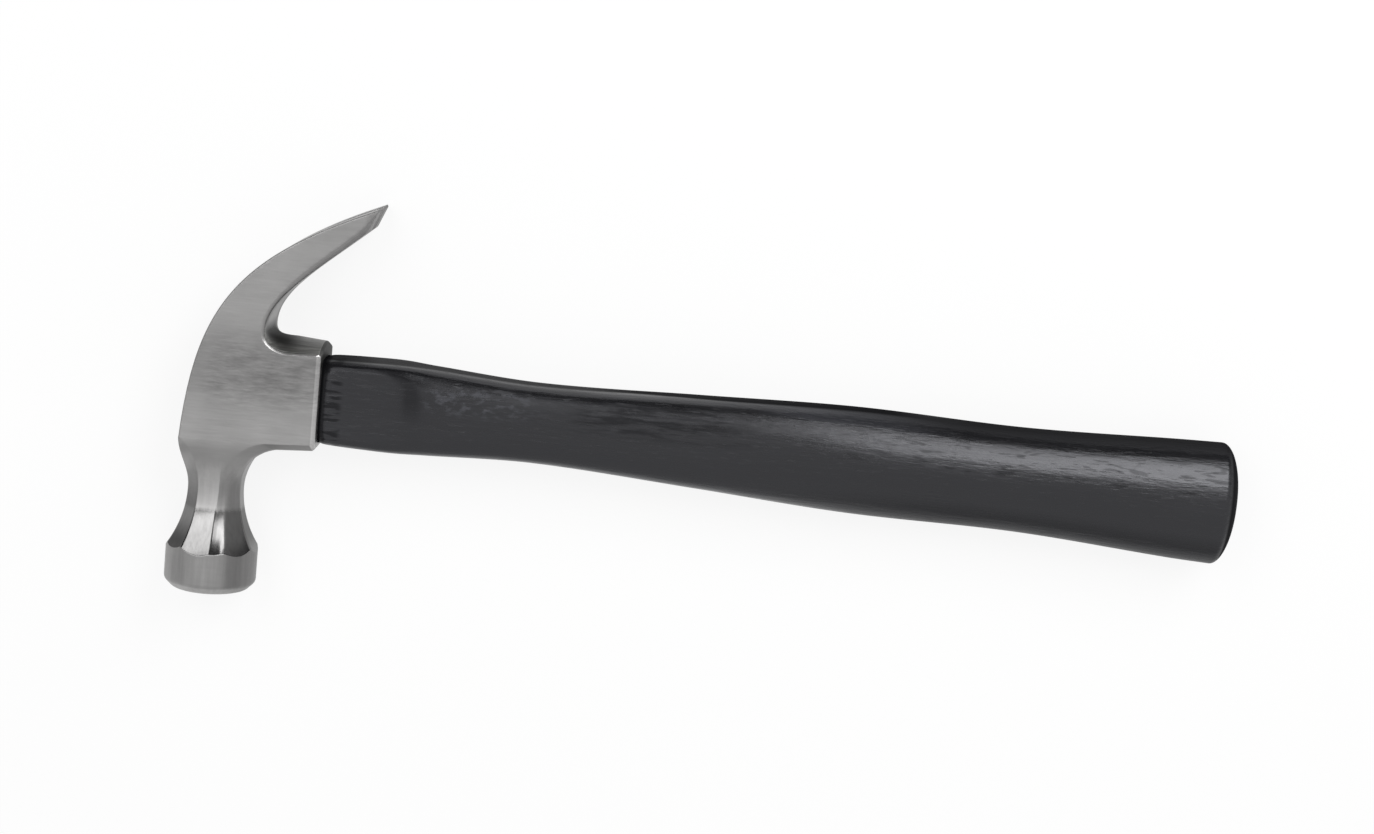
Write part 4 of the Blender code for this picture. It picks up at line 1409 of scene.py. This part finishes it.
class HandlePaint(ZonedFinish):
    """Black satin paint over open-grained wood, with dull black painted shade along the edges of the grip
    and painted highlights beside the flats and on the grip
    """

    def __init__(self, looks):
        super().__init__("handle_paint", looks)
        self.grip = self.inside(GRIP)
        self.grain = self.noise(WOOD_GRAIN)
        self.waves = self.noise(WAVES)
        self.pores = self.noise(PORES)

    def painted_shade_edges(self):
        """Painted shade: dull black along the narrow sides and on the end of the butt, where the paint
        would reflect the dark.
        """
        end, side = CLAW_EDGE_NORMAL
        claw_edge = (self.buttward * end + self.clawward * side).between(*CLAW_EDGE)
        facing = self.facing - self.inside(WAIST_FACING) - self.inside(GRIP_FACING)
        stripe = STRIPE_PAINTED_SHADE + self.inside(FLATS_STRIPE) - self.inside(WAIST_STRIPE)
        shade = PAINTED_SHADE_STRENGTH + self.inside(WAIST_SHADE)
        return (
            self.inside(BUTT_END),
            claw_edge * self.grip * CLAW_EDGE_PAINTED_SHADE,
            self.inside(POLL_EDGE) * self.grip,
            self.inside(STRIPE) * (1 - self.grip) * stripe,
            self.inside(SHADE) * facing.between(*SHADE_FACING) * shade,
            self.inside(SHOULDER),
        )

    def dull_marks_and_painted_shade(self):
        """Painted shade in streaks below the waist's stripe, pitted and marked paint, a painted shadow in
        the seam at the socket's mouth, and painted shade at the end of the flats.
        """
        return (
            self.inside(STREAKED_PAINTED_SHADE) * self.waves.between(*SHADE_STREAK_WAVES),
            self.inside(PITTED) * self.grip * self.noise(PITS),
            self.inside(MOUTH_PAINTED_SHADOW),
            self.inside(MARKED) * self.noise(MARKS),
            self.inside(FLATS_END),
        )

    def painted_highlights(self):
        """Painted highlights: light specks of painted reflection beside the flats, and a painted sheen on
        the claw's side of the grip.
        """
        below = (self.rise - self.reach * SPECK_SLOPE).between(*SPECK_TOP)
        return any_of((self.inside(PAINTED_REFLECTION_SPECKS) * below * self.noise(REFLECTION_SPECKS), self.inside(PAINTED_SHEEN)))

    def made(self):
        looks = self.looks
        # Dull black painted shade, and dull pitted and marked paint
        dull = any_of(self.painted_shade_edges() + self.dull_marks_and_painted_shade())
        self.cover(dull, "ShaderNodeBsdfDiffuse", looks.dull_paint_and_painted_shade)
        roughness = looks.paint_roughness + self.grain.swing(GRAIN_ROUGHNESS)
        roughness = roughness + self.noise(CLOUDS).swing(CLOUD_ROUGHNESS) + self.pores * PORE_ROUGHNESS
        height = self.waves * WAVE_HEIGHT + self.noise(TEETH) * TOOTH_HEIGHT
        height = height + self.grain * GRAIN_HEIGHT - self.pores * PORE_DEPTH
        return self.surface({
            "Base Color": self.mix(self.painted_highlights(), looks.black_paint, looks.painted_highlight_tint),
            "Roughness": roughness,
            "IOR": looks.paint_gloss,
            "Specular Tint": looks.paint_sheen,
            "Normal": self.bump(height, PAINT_RELIEF),
        })


# Wood and steel of the wedges, and the floor

END_GRAIN = Grain((0.5, 0.9, 3.2), 5.0, 0.6)
DARK_RINGS = (0.35, 0.75)
DARK_RING_SHARE = 0.45
WOOD_ROUGHNESS = (0.55, 0.85)
WOOD_RELIEF = 0.08 * MM
DENTS = Grain((1.1, 1.1, 1.1), 4.0)
DENT_TONES = (0.6, 1.4)
DENT_ROUGHNESS = (0.35, 0.65)
DENT_RELIEF = 0.12 * MM
FLOOR_ROUGHNESS = 0.9
WHITE = (1.0, 1.0, 1.0)


def wedge_wood_finish(looks):
    """Bare wood, seen on its sawn end."""
    finish = Finish("bare_wood")
    rings = finish.noise(END_GRAIN)
    dark = [part * DARK_RING_SHARE for part in looks.bare_wood]
    return finish.surface({
        "Base Color": finish.mix(rings.between(*DARK_RINGS), looks.bare_wood, dark),
        "Roughness": rings.ranging(*WOOD_ROUGHNESS),
        "Normal": finish.bump(rings, WOOD_RELIEF),
    })


def wedge_steel_finish(looks):
    """Sheared and hammered steel."""
    finish = Finish("wedge_steel")
    dents = finish.noise(DENTS)
    return finish.surface({
        "Base Color": finish.shade(looks.wedge_steel, dents.ranging(*DENT_TONES)),
        "Metallic": 1.0,
        "Roughness": dents.ranging(*DENT_ROUGHNESS),
        "Normal": finish.bump(dents, DENT_RELIEF),
    })


def floor_finish(stage):
    """Matt floor that is seen almost white, and keeps part of the shadow."""
    finish = Finish("matt_floor")
    path = finish.node("ShaderNodeLightPath").outputs
    rays = [Tone(finish, path[f"Is {kind} Ray"]) for kind in ("Camera", "Glossy", "Transmission")]
    finish.cover(sum(rays) * stage.floor_whiteness, "ShaderNodeEmission", WHITE)
    return finish.surface({"Base Color": stage.floor_colour, "Roughness": FLOOR_ROUGHNESS})


# Stage


def lay_floor(stage):
    shape = bmesh.new()
    bmesh.ops.create_grid(
        shape, x_segments=FLOOR_SQUARES, y_segments=FLOOR_SQUARES, size=stage.floor_size
    )
    mesh = bpy.data.meshes.new("floor")
    shape.to_mesh(mesh)
    shape.free()
    mesh.materials.append(floor_finish(stage))
    floor = add_object("floor", mesh)


def light_world(scene, stage):
    """Even light from above, the poll's side and the butt, and dark surroundings on the claw's side."""
    world = bpy.data.worlds.new("studio")
    world.use_nodes = True
    nodes = Nodes(world.node_tree)
    x, y, z = nodes.axes(nodes.node("ShaderNodeTexCoord").outputs["Generated"])
    towards = z * cos(stage.bright_lean) - y * sin(stage.bright_lean)
    towards = towards + x.between(*BUTT_SIDE) * BUTT_SIDE_LIGHT
    light = towards.between(*DARK_TO_BRIGHT).ranging(stage.dark_side, stage.bright_side)
    nodes.feed(nodes.tree.nodes["Background"].inputs["Color"], light)
    scene.world = world


def add_softbox(box):
    """Soft rectangular light over the claw's side, turned towards the floor's middle line."""
    lamp = bpy.data.lights.new(box.name, "AREA")
    lamp.shape = "RECTANGLE"
    lamp.size = box.width
    lamp.size_y = box.height
    lamp.energy = box.radiance * pi * box.width * box.height
    softbox = add_object(box.name, lamp)
    rise = Vector((0.0, sin(box.lean), cos(box.lean)))
    softbox.location = SOFTBOX_DISTANCE * rise + Vector((box.reach, 0.0, 0.0))
    softbox.rotation_euler = (-box.lean, 0.0, 0.0)


def add_camera(scene, stage):
    """Camera almost straight above the hammer, leaning over from the claw's side."""
    camera = bpy.data.cameras.new("camera")
    camera.lens = stage.camera_lens
    camera.sensor_width = SENSOR_WIDTH
    camera.clip_start = CLIP_START
    target = ORIGIN + VIEW_CENTRE
    turn = Matrix.Rotation(stage.camera_turn, 3, "Z")
    tilt = stage.camera_tilt
    back = turn @ Vector((0.0, sin(tilt), cos(tilt)))
    placed = add_object("camera", camera)
    placed.location = target + stage.camera_distance * back
    placed.rotation_euler = (-tilt, 0.0, stage.camera_turn)
    scene.camera = placed


# Operators


class HAMMER_OT_head(Operator):
    """Loft the steel head, cut its eye and soften the eye's rims"""

    bl_idname = "hammer.head"
    bl_label = "Steel head"

    def execute(self, context):
        head = context.scene.hammer_head
        material = HeadSteel(context.scene.hammer_finishes).made()
        piece = make_piece("steel_head", head_shape(head), material)
        cut_away(piece, [eye_cutter(head)])
        soften_eye(piece, head)
        dress(piece, "hammer_head")
        return {"FINISHED"}


class HAMMER_OT_handle(Operator):
    """Loft the painted handle, and cut the kerf and the slots into its tenon"""

    bl_idname = "hammer.handle"
    bl_label = "Painted handle"

    def execute(self, context):
        head, handle = context.scene.hammer_head, context.scene.hammer_handle
        shape = trim_to_crown(loft(handle_rings(head, handle)), head)
        material = HandlePaint(context.scene.hammer_finishes).made()
        piece = make_piece("painted_handle", shape, material)
        kerf = wedge_size(handle, "wood")._replace(width=2 * head.socket_depth)
        kerf_cutter = make_piece("kerf_cutter", wedge_shape(head, kerf, FIT_GAP))
        cut_away(piece, [kerf_cutter, *slot_cutters(head, handle)])
        dress(piece, "handle")
        return {"FINISHED"}


class HAMMER_OT_wood_wedge(Operator):
    """Drive the wooden wedge that spreads the tenon"""

    bl_idname = "hammer.wood_wedge"
    bl_label = "Wood wedge"

    def execute(self, context):
        head, handle = context.scene.hammer_head, context.scene.hammer_handle
        material = wedge_wood_finish(context.scene.hammer_finishes)
        shape = soft_wedge(head, wedge_size(handle, "wood"))
        piece = make_piece("bare_wood_wedge", shape, material)
        cut_away(piece, slot_cutters(head, handle))
        dress(piece, "wood_wedge")
        return {"FINISHED"}


class HAMMER_OT_steel_wedges(Operator):
    """Drive the two steel wedges across the wooden one"""

    bl_idname = "hammer.steel_wedges"
    bl_label = "Steel wedges"

    def execute(self, context):
        head, handle = context.scene.hammer_head, context.scene.hammer_handle
        material = wedge_steel_finish(context.scene.hammer_finishes)
        for side, name in ((1, "claw_side"), (-1, "poll_side")):
            offset = side * handle.steel_wedge_spacing / 2
            shape = soft_wedge(head, wedge_size(handle, "steel"), offset)
            piece = make_piece(f"driven_wedge_{name}", shape, material)
            dress(piece, f"steel_wedge_{name}")
        return {"FINISHED"}


class HAMMER_OT_stage(Operator):
    """Lay the floor, and set up the lights and the camera"""

    bl_idname = "hammer.stage"
    bl_label = "Stage"

    def execute(self, context):
        stage = context.scene.hammer_stage
        lay_floor(stage)
        light_world(context.scene, stage)
        for box in SOFTBOXES:
            add_softbox(box)
        add_camera(context.scene, stage)
        context.scene.view_settings.view_transform = "Standard"
        return {"FINISHED"}


class HAMMER_PT_builder(Panel):
    """Builds the hammer's pieces and its stage"""

    bl_label = "Claw hammer"
    bl_space_type = "VIEW_3D"
    bl_region_type = "UI"
    bl_category = "Hammer"

    def draw(self, context):
        for operator in OPERATORS:
            self.layout.operator(operator.bl_idname)


GROUPS = {
    "hammer_head": HeadSizes,
    "hammer_handle": HandleSizes,
    "hammer_finishes": Finishes,
    "hammer_stage": StageSizes,
}
OPERATORS = (
    HAMMER_OT_head,
    HAMMER_OT_handle,
    HAMMER_OT_wood_wedge,
    HAMMER_OT_steel_wedges,
    HAMMER_OT_stage,
)
CLASSES = (*GROUPS.values(), *OPERATORS, HAMMER_PT_builder)


def register():
    for item in CLASSES:
        bpy.utils.register_class(item)
    for name, group in GROUPS.items():
        setattr(bpy.types.Scene, name, PointerProperty(type=group))


def unregister():
    for name in GROUPS:
        delattr(bpy.types.Scene, name)
    for item in reversed(CLASSES):
        bpy.utils.unregister_class(item)


def main():
    register()
    bpy.ops.hammer.head()
    bpy.ops.hammer.handle()
    bpy.ops.hammer.wood_wedge()
    bpy.ops.hammer.steel_wedges()
    bpy.ops.hammer.stage()


if __name__ == "__main__":
    main()
